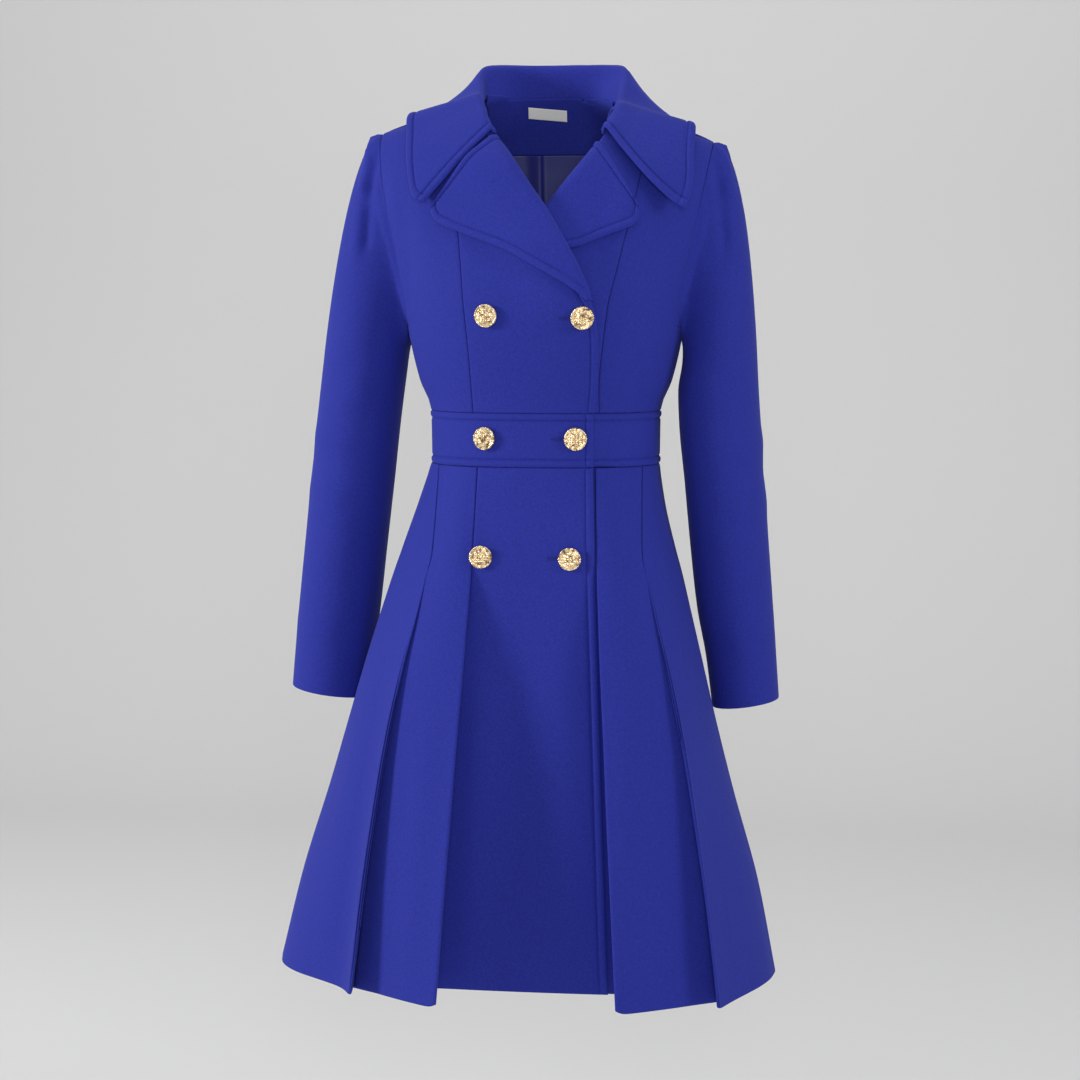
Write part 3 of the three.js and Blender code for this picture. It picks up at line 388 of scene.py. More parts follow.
LAP = {"right": roll_lift, "left": under_lap}


# Sheets of points: rows run up or down the piece and columns across it
def spread(total, fine_start, fine_end, step):
    """Distances for sample lines across a length: close at the ends and even between."""
    room = 0.42 * total
    start = np.array(fine_start) * min(1, room / max(fine_start[-1], 1e-6))
    end = np.array(fine_end) * min(1, room / max(fine_end[-1], 1e-6))
    middle = np.linspace(start[-1], total - end[-1], step + 1)[1:-1]
    return np.concatenate([start, middle, total - end[::-1]])


def resample(sheet, fine_start, fine_end, step):
    """Moves the columns of a sheet to lie at set distances from its two ends."""
    lengths = [lengths_of(row) for row in sheet]
    count = max(4, int(np.mean([line[-1] for line in lengths]) / step))
    rows = []
    for row, line in zip(sheet, lengths):
        rows.append(at_lengths(row, line, spread(line[-1], fine_start, fine_end, count)))
    return np.array(rows)


def turned(sheet):
    return np.swapaxes(sheet, 0, 1)


PLAIN = (0, 0.35, 0.9, 1.9, 4.5)
SEWN = (0, 0.35, 0.9, 1.9, 3.6, 6.4, 7.8, 8.5, 9.0, 9.5, 10.2, 12, 15)
BAND = (0, 0.35, 0.9, 1.9, 3.6, 5.8, 6.9, 7.5, 8.0, 8.5, 9.2, 11, 14)
FINE = {"seam": PLAIN, "plain": PLAIN, "sewn": SEWN, "band": BAND}
INSET = {"sewn": STITCH_INSET, "band": BAND_INSET}


def graded(sheet, edges, step=8.0):
    """A dense sheet thinned to a grid that is fine where an edge rolls or is stitched."""
    across = resample(sheet, FINE[edges["left"]], FINE[edges["right"]], step)
    down = resample(turned(across), FINE[edges["start"]], FINE[edges["end"]], step)
    return turned(down)


def normals_of(sheet, round_way=False):
    if round_way:
        wide = np.concatenate([sheet[:, -1:], sheet, sheet[:, :1]], 1)
        across = (wide[:, 2:] - wide[:, :-2])
    else:
        across = np.gradient(sheet, axis=1)
    down = np.gradient(sheet, axis=0)
    return unit(np.cross(down, across))


def edge_distances(sheet, round_way=False):
    """Distance from every point to the four edges, along the rows and the columns."""
    down = np.linalg.norm(np.diff(sheet, axis=0), axis=2)
    zeros = np.zeros((1, sheet.shape[1]))
    start = np.concatenate([zeros, np.cumsum(down, 0)])
    found = {"start": start, "end": start[-1:] - start}
    if not round_way:
        across = np.linalg.norm(np.diff(sheet, axis=1), axis=2)
        left = np.concatenate([np.zeros((sheet.shape[0], 1)), np.cumsum(across, 1)], 1)
        found["left"] = left
        found["right"] = left[:, -1:] - left
    return found


def rolled_off(share):
    near = np.clip(1 - share, 0, 1)
    return 1 - np.sqrt(np.maximum(1 - near**2, 0))


def edge_relief(distances, edges, thick):
    """How the face falls away at its edges, puffs beside them and sinks along the stitches."""
    nearest = np.full(next(iter(distances.values())).shape, 1e3)
    seamed = nearest.copy()
    relief = np.zeros_like(nearest)
    for name, distance in distances.items():
        kind = edges[name]
        if kind in ("seam", "band"):
            seamed = np.minimum(seamed, distance)
        else:
            nearest = np.minimum(nearest, distance)
        inset = INSET.get(kind)
        if inset:
            relief += STITCH_PUFF * np.clip(1 - ((distance - inset / 2) / (inset / 2)) ** 2, 0, 1)
            relief -= STITCH_GROOVE * np.exp(-(((distance - inset) / GROOVE_HALF) ** 2))
        elif kind == "seam":
            relief += SEAM_PUFF * np.exp(-(((distance - SEAM_PUFF_AT) / 3.0) ** 2))
    fall = EDGE_FALL * thick * rolled_off(nearest / (EDGE_ROLL * thick / CLOTH))
    fall = np.maximum(fall, SEAM_FALL * thick * rolled_off(seamed / SEAM_ROLL))
    return relief * np.clip(np.minimum(nearest, seamed) / 1.5, 0, 1), fall


# Soft creases pressed or lifted in the cloth: a line from x0, z0 to x1, z1 in the front view,
# its half width and its height
CREASES = {
    "bodice": [
        (-150, -235, -105, -262, 9, 0.9), (-152, -200, -118, -206, 8, -0.8),
        (150, -232, 108, -258, 9, 0.9), (148, -196, 118, -204, 8, -0.8),
        (-100, -300, -78, -322, 7, 0.7), (104, -300, 84, -322, 7, 0.7),
        (-20, -292, 8, -320, 8, 0.5), (-118, -312, -100, -276, 8, -0.6),
        (118, -310, 102, -276, 8, -0.6), (-60, -160, -86, -148, 9, 0.5),
        (-166, -70, -158, -205, 8, 2.4), (-148, -90, -140, -200, 9, -1.6),
        (168, -80, 160, -205, 8, 2.4), (150, -95, 142, -200, 9, -1.6),
    ],
    "sleeve": [
        (-184, -38, -193, -92, 4.5, -4.6), (-193, -92, -196, -150, 5, -3.4),
        (-192, -34, -204, -92, 6, 4.4), (-204, -92, -209, -160, 8, 3.0),
        (186, -50, 195, -98, 4.5, -4.2), (195, -98, 199, -150, 5, -3.0),
        (195, -48, 206, -98, 6, 4.0), (206, -98, 211, -165, 8, 2.6),
        (-262, -345, -214, -372, 13, 1.6), (-266, -392, -226, -378, 12, -1.5),
        (-270, -408, -222, -432, 14, 1.3), (-190, -300, -232, -322, 13, 1.2),
        (-206, -470, -250, -452, 14, 1.1), (-196, -262, -236, -292, 12, -1.0),
        (-292, -560, -240, -586, 16, 0.9), (246, -352, 200, -376, 13, 1.6),
        (244, -398, 206, -384, 12, -1.5), (250, -420, 204, -440, 14, 1.3),
        (172, -304, 214, -326, 13, 1.2), (186, -476, 226, -456, 14, 1.1),
        (176, -264, 212, -294, 12, -1.0), (250, -566, 206, -590, 16, 0.9),
    ],
    "skirt": [
        (-70, -400, -56, -500, 14, -1.1), (30, -520, 46, -940, 26, 2.7),
        (-20, -560, -30, -950, 24, -2.5), (-60, -600, -78, -950, 18, 2.2),
        (-190, -640, -246, -950, 22, 3.6), (-160, -560, -205, -950, 20, -2.9),
        (170, -640, 214, -950, 22, 3.2), (150, -560, 186, -950, 18, -2.5),
        (100, -640, 122, -950, 16, 1.8), (-112, -640, -132, -950, 16, 1.8),
    ],
}


def crease_relief(sheet, kind):
    x, z = sheet[..., 0], sheet[..., 2]
    relief = np.zeros(x.shape)
    for x0, z0, x1, z1, half_width, height in CREASES.get(kind, []):
        way = np.array([x1 - x0, z1 - z0])
        share = ((x - x0) * way[0] + (z - z0) * way[1]) / way.dot(way)
        held = np.clip(share, 0, 1)
        gap = np.hypot(x - x0 - held * way[0], z - z0 - held * way[1])
        fade = np.clip(1.15 - np.abs(2 * held - 1) ** 3, 0, 1)
        relief += height * fade * np.exp(-((gap / half_width) ** 2))
    return relief


def all_edges(kind):
    return dict.fromkeys(("left", "right", "start", "end"), kind)


def grid_faces(rows, columns, offset, round_way=False):
    i = np.arange(rows - 1)[:, None]
    j = np.arange(columns if round_way else columns - 1)[None, :]
    after = (j + 1) % columns
    quads = [i * columns + j, i * columns + after, (i + 1) * columns + after, (i + 1) * columns + j]
    return np.stack([np.broadcast_to(q, (rows - 1, j.shape[1])) for q in quads], -1).reshape(
        -1, 4) + offset


def rim_faces(first, second):
    return np.stack([first[:-1], second[:-1], second[1:], first[1:]], -1)


def closed_faces(rows, columns, round_way):
    """Faces of a wall whose outer points come first and whose inner points follow."""
    total = rows * columns
    index = np.arange(total).reshape(rows, columns)
    faces = [grid_faces(rows, columns, 0, round_way),
             grid_faces(rows, columns, total, round_way)[:, ::-1]]
    top, bottom = index[0], index[-1]
    if round_way:
        top, bottom = np.append(top, top[0]), np.append(bottom, bottom[0])
    faces += [rim_faces(top, top + total), rim_faces(bottom + total, bottom)]
    if not round_way:
        left, right = index[:, 0], index[:, -1]
        faces += [rim_faces(left + total, left), rim_faces(right, right + total)]
    return np.concatenate(faces)


def signed_volume(points, faces):
    a, b, c, d = (points[faces[:, k]] for k in range(4))
    return np.sum(a * np.cross(b, c)) + np.sum(a * np.cross(c, d))


def make_object(name, points, faces, material, smooth_faces=True):
    mesh = bpy.data.meshes.new(name)
    mesh.from_pydata((np.asarray(points) * MM).tolist(), [], [list(face) for face in faces])
    mesh.polygons.foreach_set("use_smooth", [smooth_faces] * len(mesh.polygons))
    mesh.materials.append(material)
    mesh.update()
    piece = bpy.data.objects.new(name, mesh)
    bpy.context.scene.collection.objects.link(piece)
    return piece


def walled(sheet, edges, thick, crease, outward, round_way, extra):
    """Outer and inner points of a cloth wall, and the way out of its face."""
    normals = normals_of(sheet, round_way) * outward
    distances = edge_distances(sheet, round_way)
    still, fall = edge_relief(distances, edges, thick)
    relief = still + crease_relief(sheet, crease) * faces_viewer(normals, crease) + extra
    rest = 5 if crease == "sleeve" else 12
    quiet = np.clip(np.minimum.reduce(list(distances.values())) / rest, 0, 1)
    lifted = still + (relief - still) * quiet
    outer = sheet + normals * (lifted - fall)[..., None]
    inner = sheet + normals * ((lifted - still) - thick + fall)[..., None]
    return outer, inner, normals, distances


def faces_viewer(normals, crease):
    """Creases of the skirt stay off the pleats' legs, which face sideways."""
    return smooth(0.35, 0.7, -normals[..., 1]) if crease == "skirt" else 1


def declared(piece, node=None):
    """Ties a piece to the coat's body and hides the solid that it stands for."""
    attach(piece, "root")
    if node:
        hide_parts(node)
    return piece


PIECES = {}


def cloth(name, sheet, edges, material, slot, thick=CLOTH, crease="", outward=1,
          round_way=False, extra=0, held="hung"):
    """One cloth piece as a closed wall, declared."""
    outer, inner, normals, distances = walled(sheet, edges, thick, crease, outward, round_way,
                                              extra)
    rows, columns = sheet.shape[:2]
    points = np.concatenate([outer.reshape(-1, 3), inner.reshape(-1, 3)])
    faces = closed_faces(rows, columns, round_way)
    if signed_volume(points, faces) < 0:
        faces = faces[:, ::-1]
    piece = declared(make_object(name + "_cloth", points, faces, material), name)
    PIECES[name] = {"outer": outer, "normals": normals, "distances": distances, "edges": edges}


def panel(name, sheet, edges, material, step=8.0, **more):
    """A piece of coating made from a dense sheet."""
    cloth(name, graded(sheet, edges, step), edges, material, "coating", **more)


# Bodice
LOWER_ROWS = 4
UPPER_ROWS = 9
BODICE_ROWS = np.linspace(0, LOWER_ROWS + UPPER_ROWS, 150)


def seam_line(lower, upper):
    """Points of a seam at the rows of a bodice panel, from the waist to the shoulder."""
    low = along(lower, np.minimum(BODICE_ROWS, LOWER_ROWS) / LOWER_ROWS)
    share = np.sin(np.pi / 2 * np.clip((BODICE_ROWS - LOWER_ROWS) / UPPER_ROWS, 0, 1))
    high = along(upper, share)
    line = np.where((BODICE_ROWS < LOWER_ROWS)[:, None], low, high)
    line[0, 1] = WAIST_TOP + SEAM
    return line


def seam_turns(line, behind=False):
    return np.stack([turn_of(line[:, 0], line[:, 1], behind), line[:, 1]], -1)


def side_turns(side, armhole, behind):
    tip_x, tip_z = SHOULDER[side][2:]
    tip = abs(float(turn_of(tip_x, tip_z, behind)))
    lower = [(90, WAIST_TOP), (90, armhole[0][1])]
    line = seam_line(lower, armhole + [(tip, tip_z)])
    return np.stack([SIDES[side] * line[:, 0], line[:, 1]], -1)


def front_line(side):
    sign = SIDES[side]
    roll = [(x + sign * ROLL_SET_BACK, z) for x, z in ROLL[side]][1:-1]
    neck = []
    for x, z in NECK[side][1:]:
        at = x + sign * NECK_SET_BACK[side]
        neck.append((at, min(z, float(shoulder_height(at)))))
    lower = FRONT_LOWER[side]
    return seam_line(lower, [lower[-1]] + roll + neck)


def back_line(side, waist_x=58, top_x=122):
    sign = SIDES[side]
    neck_x, neck_z, tip_x, tip_z = SHOULDER[side]
    top = lerp(neck_z, tip_z, (top_x - neck_x) / (tip_x - neck_x))
    lower = [(waist_x, WAIST_TOP), (waist_x + 2, -290), (waist_x + 6, -250),
             (waist_x + 12, -205)]
    upper = [lower[-1], (waist_x + 20, -150), (top_x - 14, -85), (top_x, top)]
    return seam_line([(sign * x, z) for x, z in lower], [(sign * x, z) for x, z in upper])


def torso_sheet(edge_a, edge_b, shift_a, shift_b, shift_y, lap=None):
    share = np.linspace(0, 1, 110)[None, :]
    turn = lerp(edge_a[:, :1], edge_b[:, :1], share)
    z = lerp(edge_a[:, 1:], edge_b[:, 1:], share)
    points = torso(turn, z)
    normals = torso_normal(turn, z)
    if lap:
        points = points + normals * lap(points[..., 0], z)[..., None]
    points[..., 0] += lerp(shift_a, shift_b, share)
    points[..., 1] += shift_y
    return points


HALF = SEAM / 2


def bodice(material):
    for side, sign in SIDES.items():
        princess = seam_turns(seam_line(PRINCESS[side]["lower"], PRINCESS[side]["upper"]))
        front = seam_turns(front_line(side))
        lap = LAP[side]
        edges = {"left": "seam", "right": "sewn" if side == "right" else "plain",
                 "start": "seam", "end": "seam"}
        sheet = torso_sheet(princess, front, -sign * HALF, 0, -HALF, lap)
        panel(f"bodice_centre_front_{side}", sheet, edges, material, crease="bodice",
              outward=sign)
        edges = all_edges("seam")
        front_side = side_turns(side, FRONT_ARMHOLE, False)
        sheet = torso_sheet(princess, front_side, sign * HALF, 0, -HALF, lap)
        panel(f"bodice_side_front_{side}", sheet, edges, material, crease="bodice",
              outward=-sign)
        back = seam_turns(back_line(side), True)
        back_side = side_turns(side, BACK_ARMHOLE, True)
        sheet = torso_sheet(back, back_side, sign * HALF, 0, HALF)
        panel(f"bodice_side_back_{side}", sheet, edges, material, outward=sign)


def back_top(x):
    """Height of the back's upper edge: the neck in the middle and the shoulders beside it."""
    inside, edges = [], []
    for side in SIDES:
        neck_x, neck_z = SHOULDER[side][:2]
        inside.append(lerp(neck_z, NECK_BACK, smooth(neck_x, 40, np.abs(x))))
        edges.append(neck_x)
    right = np.asarray(x) < 0
    return np.where(np.abs(x) >= np.where(right, *edges), shoulder_height(x),
                    np.where(right, *inside))


def back_surface(x, z, gap=HALF):
    turn = turn_of(x, z, True)
    points = torso(turn, z)
    points[..., 0] = x
    points[..., 1] += gap
    return points, clear_normal(turn, z)


def centre_back(material):
    right, left = back_line("right"), back_line("left")
    share = np.linspace(0, 1, 140)[None, :]
    x = lerp(right[:, :1] + HALF, left[:, :1] - HALF, share)
    seam_z = lerp(right[:, 1:], left[:, 1:], share)
    top_z = lerp(right[-1, 1], left[-1, 1], share)
    rise = smooth(LOWER_ROWS - 1, LOWER_ROWS + UPPER_ROWS, BODICE_ROWS)[:, None]
    z = seam_z + (back_top(x) - top_z) * rise * np.minimum(1, 8 * share * (1 - share))
    panel("bodice_centre_back", back_surface(x, z)[0], all_edges("seam"), material)


# Skirt. A pair is a value at the top and one at the hem, and a key of True is the back
RIDGE_SHIFT = 4
FOOT_REACH = 26
FOOT_GAP = 0.5
FOLD_REACH = 5
FOLD_DEPTH = 38
PLEAT_BULGE = {False: (5.5, 2), True: (5.5, 4)}
GROOVE_BEFORE = (7, 24)
GROOVE_DEPTH = {False: (5.5, -20), True: (5.5, -12)}
FACE_POINTS = (0.3, 0.6, 0.85)
FIRST_RIDGE_CUT = (2.6, 9)
SECOND_RIDGE_CUT = (2.6, 13)
GROOVE_CUT = (8, 26)
FACE_CUT = 30
SIDE_CUT = 60
FRONT_EDGE = (62, 82)
BAND_EDGE = 62.5


def skirt_places(z, sign, behind):
    """Key places of one quarter of the skirt at heights z, mirrored to the viewer's right."""
    open_ = np.clip((STITCH_END - z) / (STITCH_END - HEM), 0, 1)
    names = ("b1x", "b1y", "b2x", "b2y") if behind else ("p1x", "p1y", "p2x", "p2y")
    p1x, p1y, p2x, p2y = (column(SKIRT, name, z) for name in names)
    if not behind:
        p2x = p2x + RIDGE_SHIFT * open_ * sign
    return {
        "open": open_, "p1": (p1x, p1y), "p2": (p2x, p2y),
        "middle": column(SKIRT, "back" if behind else "front", z),
        "wide": column(SKIRT, "wide_r" if sign < 0 else "wide_l", z),
        "level": column(SKIRT, "back_edge" if behind else "edge", z),
    }


def middle_depth(places, x):
    share = np.minimum(1, np.abs(x) / places["p1"][0])
    return lerp(places["middle"], places["level"], share**2.3)


def leg_foot(places):
    x, _ = places["p1"]
    return x + FOOT_REACH * places["open"], middle_depth(places, x)


def leg_end(ridge, foot, lean):
    way = np.stack([foot[0] - ridge[0] + lean * SEAM_TURN, foot[1] - ridge[1] - SEAM_TURN], -1)
    way = unit(way) * SEAM_TURN
    return foot[0] + way[..., 0], foot[1] + way[..., 1]


def leg_gap(open_, wide):
    return lerp(SEAM, wide, np.clip(open_ * 20, 0, 1))


def inner_fold(places, gap=0):
    x, y = places["p2"]
    return x + FOLD_REACH * places["open"] - gap, y - FOLD_DEPTH * places["open"]


def rounded(points, cuts, steps=7, between=5):
    """Lines through corner points with each corner eased, for all rows at once."""
    corners = np.stack([np.stack(np.broadcast_arrays(*p), -1) for p in points], 1)
    parts = [corners[:, :1]]
    for k in range(1, corners.shape[1] - 1):
        before, at, after = corners[:, k - 1], corners[:, k], corners[:, k + 1]
        room = 0.5 * np.minimum(np.linalg.norm(at - before, axis=1),
                                np.linalg.norm(after - at, axis=1))
        cut = np.minimum(cuts[k - 1], room * 0.98)[:, None]
        start = at + unit(before - at) * cut
        end = at + unit(after - at) * cut
        last = parts[-1][:, -1]
        for share in np.linspace(0, 1, between + 1)[1:-1]:
            parts.append(lerp(last, start, share)[:, None])
        for t in np.linspace(0, 1, steps):
            bend = (1 - t) ** 2 * start + 2 * t * (1 - t) * at + t**2 * end
            parts.append(bend[:, None])
    last = parts[-1][:, -1]
    for share in np.linspace(0, 1, between + 1)[1:]:
        parts.append(lerp(last, corners[:, -1], share)[:, None])
    return np.concatenate(parts, 1)


SKIRT_Z = np.linspace(WAIST_BOTTOM - SEAM, HEM, 260)


def level_sheet(plan, sign, face, ridge):
    """The outline at every height, its hem rounded up a little at the pleat's ridge."""
    x = plan[..., 0] * sign
    y = plan[..., 1] * face
    gap = np.hypot(plan[..., 0] - ridge[0][:, None], plan[..., 1] - ridge[1][:, None])
    z = SKIRT_Z[:, None] + HEM_ROUND * np.exp(-((gap / 9) ** 2)) * smooth(
        HEM + 60, HEM, SKIRT_Z)[:, None]
    return np.stack([x, y, z], -1)


def down_graded(sheet, start, end, step=9.0):
    return turned(resample(turned(sheet), FINE[start], FINE[end], step))


def pleated(name, points, cuts, ridge, right, sign, behind, material):
    """A skirt panel from the corners of its outline, with the hem rounded up at its ridge."""
    face = 1 if behind else -1
    sheet = level_sheet(rounded(points, cuts), sign, face, ridge)
    edges = {"left": "none", "right": right, "start": "seam", "end": "plain"}
    cloth(name, down_graded(sheet, "seam", "plain"), edges, material, "coating",
          crease="" if behind else "skirt", outward=-sign * face)


def pleat_panel(name, sign, behind, material):
    """A leg turned in beside the middle panel, the pleat's ridge and the face to the next pleat."""
    places = skirt_places(SKIRT_Z, sign, behind)
    open_, first, second = places["open"], places["p1"], places["p2"]
    bulge = lerp(*PLEAT_BULGE[behind], np.sqrt(open_))
    groove = (second[0] - lerp(*GROOVE_BEFORE, open_),
              second[1] + lerp(*GROOVE_DEPTH[behind], open_))
    points = [leg_end(first, leg_foot(places), 0), first]
    for share in FACE_POINTS:
        hump = 4 * share * (1 - share) * bulge
        points.append((lerp(first[0], groove[0], share), lerp(first[1], groove[1], share) + hump))
    points += [groove, inner_fold(places, -LEG_TUCK * np.clip(open_ * 20, 0, 1) + SEAM)]
    cuts = [lerp(*FIRST_RIDGE_CUT, open_)] + [FACE_CUT] * 3 + [lerp(*GROOVE_CUT, open_)]
    pleated(name, points, cuts, first, "none", sign, behind, material)


def side_panel(name, side, sign, behind, material):
    """From the second pleat's leg and ridge round to the side seam."""
    places = skirt_places(SKIRT_Z, sign, behind)
    open_, second, wide = places["open"], places["p2"], places["wide"]
    points = [leg_end(second, inner_fold(places), -0.5 * (1 - open_)), second]
    ease = np.sqrt(open_)
    for k in range(4):
        x = lerp(SIDE_CURVE["waist_x"][k], SIDE_CURVE[side + "_x"][k], ease)
        y = lerp(SIDE_CURVE["waist_y"][k], SIDE_CURVE[side + "_y"][k], ease)
        points.append((lerp(second[0], wide, x), lerp(second[1], 0, y)))
    points.append((wide, HALF + 0 * wide))
    cuts = [lerp(*SECOND_RIDGE_CUT, open_)] + [SIDE_CUT] * 4
    pleated(name, points, cuts, second, "seam", sign, behind, material)


def middle_panel(name, behind, start, end, lap, edges, material):
    """The flat panel between the pleats, or one side of it where the fronts overlap."""
    share = np.linspace(0, 1, 120)[None, :]
    z = SKIRT_Z[:, None]
    x = lerp(start[:, None], end[:, None], share)
    right = middle_depth(skirt_places(z, -1, behind), x)
    left = middle_depth(skirt_places(z, 1, behind), x)
    face = 1 if behind else -1
    y = face * (np.where(x < 0, right, left) - lap)
    sheet = np.stack([x, y, np.broadcast_to(z, x.shape)], -1)
    panel(name, sheet, edges, material, crease="" if behind else "skirt", outward=-face)


def foot_x(sign, behind):
    places = skirt_places(SKIRT_Z, sign, behind)
    return sign * (leg_foot(places)[0] - leg_gap(places["open"], FOOT_GAP))


def skirt(material):
    edge_x = lerp(*FRONT_EDGE, (WAIST_BOTTOM - SKIRT_Z) / (WAIST_BOTTOM - HEM))
    under_x = np.full(SKIRT_Z.shape, float(UNDER_EDGE))
    joined = {**all_edges("seam"), "end": "plain"}
    middle_panel("skirt_centre_front_right", False, foot_x(-1, False), edge_x, 0,
                 {**joined, "right": "sewn"}, material)
    middle_panel("skirt_centre_front_left", False, under_x, foot_x(1, False), FRONT_OVERLAP,
                 {**joined, "left": "plain"}, material)
    middle_panel("skirt_centre_back", True, foot_x(-1, True), foot_x(1, True), 0, joined, material)
    for side, sign in SIDES.items():
        pleat_panel(f"skirt_pleat_front_{side}", sign, False, material)
        pleat_panel(f"skirt_pleat_back_{side}", sign, True, material)
        side_panel(f"skirt_side_front_{side}", side, sign, False, material)
        side_panel(f"skirt_side_back_{side}", side, sign, True, material)


# Waistband
def waistband(material):
    z = np.linspace(WAIST_TOP, WAIST_BOTTOM, 60)[:, None]
    share = np.linspace(0, 1, 160)[None, :]
    edges = {"left": "seam", "right": "sewn", "start": "band", "end": "band"}

    def strip(name, start, end, lap, behind, edges):
        turn = lerp(start, end, share) + 0 * z
        heights = z + 0 * share
        if behind:
            turn = np.where(turn < 0, -1, 1) * (180 - np.abs(turn))
        points = torso(turn, heights)
        normals = torso_normal(turn, heights)
        normals[..., 2] = 0
        points = points + unit(normals) * lap(points[..., 0], heights)[..., None]
        points[..., 1] += HALF if behind else -HALF
        panel(name, points, edges, material, outward=-1 if behind else 1)

    strip("waistband_right", -90.0, turn_of(BAND_EDGE, z, False), no_lap, False, edges)
    edges = {**edges, "left": "plain", "right": "seam"}
    strip("waistband_left", turn_of(UNDER_EDGE, z, False), 90.0, under_lap, False, edges)
    edges = {**edges, "left": "seam"}
    strip("waistband_back", -90.0, 90.0, no_lap, True, edges)


# Sleeves start face to face with the rims of the armhole.
# The pulls say how far the cloth runs straight on, first under the arm and then at the shoulder.
RING = 84
ARMHOLE_PULL = (14, 105)
SLEEVE_PULL = (30, 250)
GATHERS = {"count": 15, "height": 1.3}
HEAD_FOLD = {"all": 1.2, "top": 2.6}


def armhole_ring(side):
    """Points round the armhole from the shoulder down the front and up the back."""
    share = np.arange(RING) / RING
    front_row = LOWER_ROWS + UPPER_ROWS * (1 - 2 * share)
    back_row = LOWER_ROWS + UPPER_ROWS * (2 * share - 1)
    rings = []
    for armhole, behind, row, shift in ((FRONT_ARMHOLE, False, front_row, -HALF),
                                        (BACK_ARMHOLE, True, back_row, HALF)):
        turns = side_turns(side, armhole, behind)
        points = torso(turns[:, 0], turns[:, 1])
        points[:, 1] += shift
        rings.append((at_lengths(points, BODICE_ROWS, row),
                      unit(at_lengths(torso_normal(turns[:, 0], turns[:, 1]), BODICE_ROWS, row))))
    front = (share <= 0.5)[:, None]
    points = np.where(front, rings[0][0], rings[1][0])
    points[0] = (rings[0][0][0] + rings[1][0][-1]) / 2
    points[RING // 2, 1] = 0
    return points, np.where(front, rings[0][1], rings[1][1])


def sleeve(side, material):
    """A sleeve round its arm: a head that bends over from the armhole, then level sections."""
    sign = SIDES[side]
    ring, normals = armhole_ring(side)
    ring[0] = (ring[1] + ring[-1]) / 2
    way = unit(np.cross(np.roll(ring, -1, 0) - np.roll(ring, 1, 0), normals)) * -sign
    turn = 2 * np.pi * np.arange(RING) / RING
    high = ((1 + np.cos(turn)) / 2)[:, None]
    sections = SLEEVE[side]

    def section(z):
        get = lambda name: column(sections, name, z)
        reach = np.abs(get("outer") - get("inner")) / 2
        x = (get("outer") + get("inner")) / 2 + sign * reach * np.cos(turn)
        y = get("back") - get("depth") * np.sin(turn)
        return np.stack([x, y, z + 0.14 * np.cos(turn) * reach], -1)

    first, cuff = sections["z"][0], sections["z"][-1]
    end = section(first)
    down = unit(section(first - 10) - end)
    start = ring + way * (SEAM + 0.05)
    start_pull = (way + np.array([0, 0, 0.28]) * high) * lerp(*ARMHOLE_PULL, high)
    end_pull = down * lerp(*SLEEVE_PULL, high)
    rows = []
    for t in np.linspace(0, 1, 60, endpoint=False):
        rows.append(hermite(start, start_pull, end, end_pull, t))
    rows += [section(z) for z in np.linspace(first, cuff, 90)]
    sheet = down_graded(np.array(rows), "seam", "plain", 7.0)
    reach = edge_distances(sheet, True)["start"]
    waves = GATHERS["height"] * np.sin(GATHERS["count"] * turn) * high[:, 0] ** 2
    pucker = waves * np.exp(-(((reach - 14) / 10) ** 2))
    fold = (HEAD_FOLD["all"] + HEAD_FOLD["top"] * high[:, 0]) * np.exp(-(((reach - 13) / 8) ** 2))
    cloth(f"sleeve_{side}", sheet, {"start": "seam", "end": "plain"}, material, "coating",
          crease="sleeve", outward=-sign, round_way=True, extra=pucker + fold)


# Collar: the stand rises from the neck seam, turns over at the fold and falls to the outer edge.
# The ends, where it sags and stands off, are shares along it from the right front to the left.
COLLAR_FOLD = {"least": 2.5, "most": 6}
COLLAR_CLEARANCE = (2, 6)
RIGHT_END = (0.16, 0)
LEFT_END = (0.80, 1)
SAG_END = (0.84, 1)
LAPEL_BOW = {"right": 5.5, "left": 3}

# Inside of the neck
FACING_X = (-74, 76)
LINING_X = (-92, 92)
BACK_PLEAT = {"rise": 4, "wide": 18, "edge": 2.2}


def front_surface(x, z, lap):
    turn = turn_of(x, z, False)
    points = torso(turn, z)
    normals = clear_normal(turn, z)
    points[..., 0] = x
    points[..., 1] -= HALF
    return points + normals * lap(x, z)[..., None], normals


def clear_of_torso(points, reach):
    """Points moved out until they lie a given way outside the torso."""
    moved = points.copy()
    for _ in range(3):
        x, z = moved[..., 0], np.minimum(moved[..., 2], shoulder_height(moved[..., 0]))
        turn = turn_of(x, z, moved[..., 1] > RIDGE_Y)
        normal = clear_normal(turn, z)
        away = np.sum((moved - torso(turn, z)) * normal, -1)
        moved += normal * np.maximum(reach - away, 0)[..., None]
    return moved


def evened(moves, reach=9):
    """A column of moves blended along its length so that the cloth stays smooth."""
    steps = np.arange(-reach, reach + 1)
    weights = np.exp(-((steps / (reach / 2)) ** 2))
    padded = np.pad(moves, ((reach, reach), (0, 0)), mode="edge")
    rolled = [padded[reach + step:len(moves) + reach + step] for step in steps]
    return np.tensordot(weights / weights.sum(), np.array(rolled), 1)


def neck_seam():
    order = np.arange(len(COLLAR["nx"]))
    x = COLLAR["nx"] + NECK_END_SHIFT * smooth(13, 17, order)
    z = COLLAR["nz"]
    back, back_way = back_surface(x, z)
    front, front_way = front_surface(x, z, no_lap)
    behind = COLLAR["behind"][:, None] > 0
    points = np.where(behind, back, front)
    way = np.where(behind, back_way, front_way)
    inward = np.stack([-points[:, 0], 15 - points[:, 1], 0 * x], -1)
    return (points + way * np.where(behind, 0.2, 1)
            + unit(inward) * np.where(behind, 0.6, COLLAR_CLOTH) + np.array([0, 0, 0.8]))


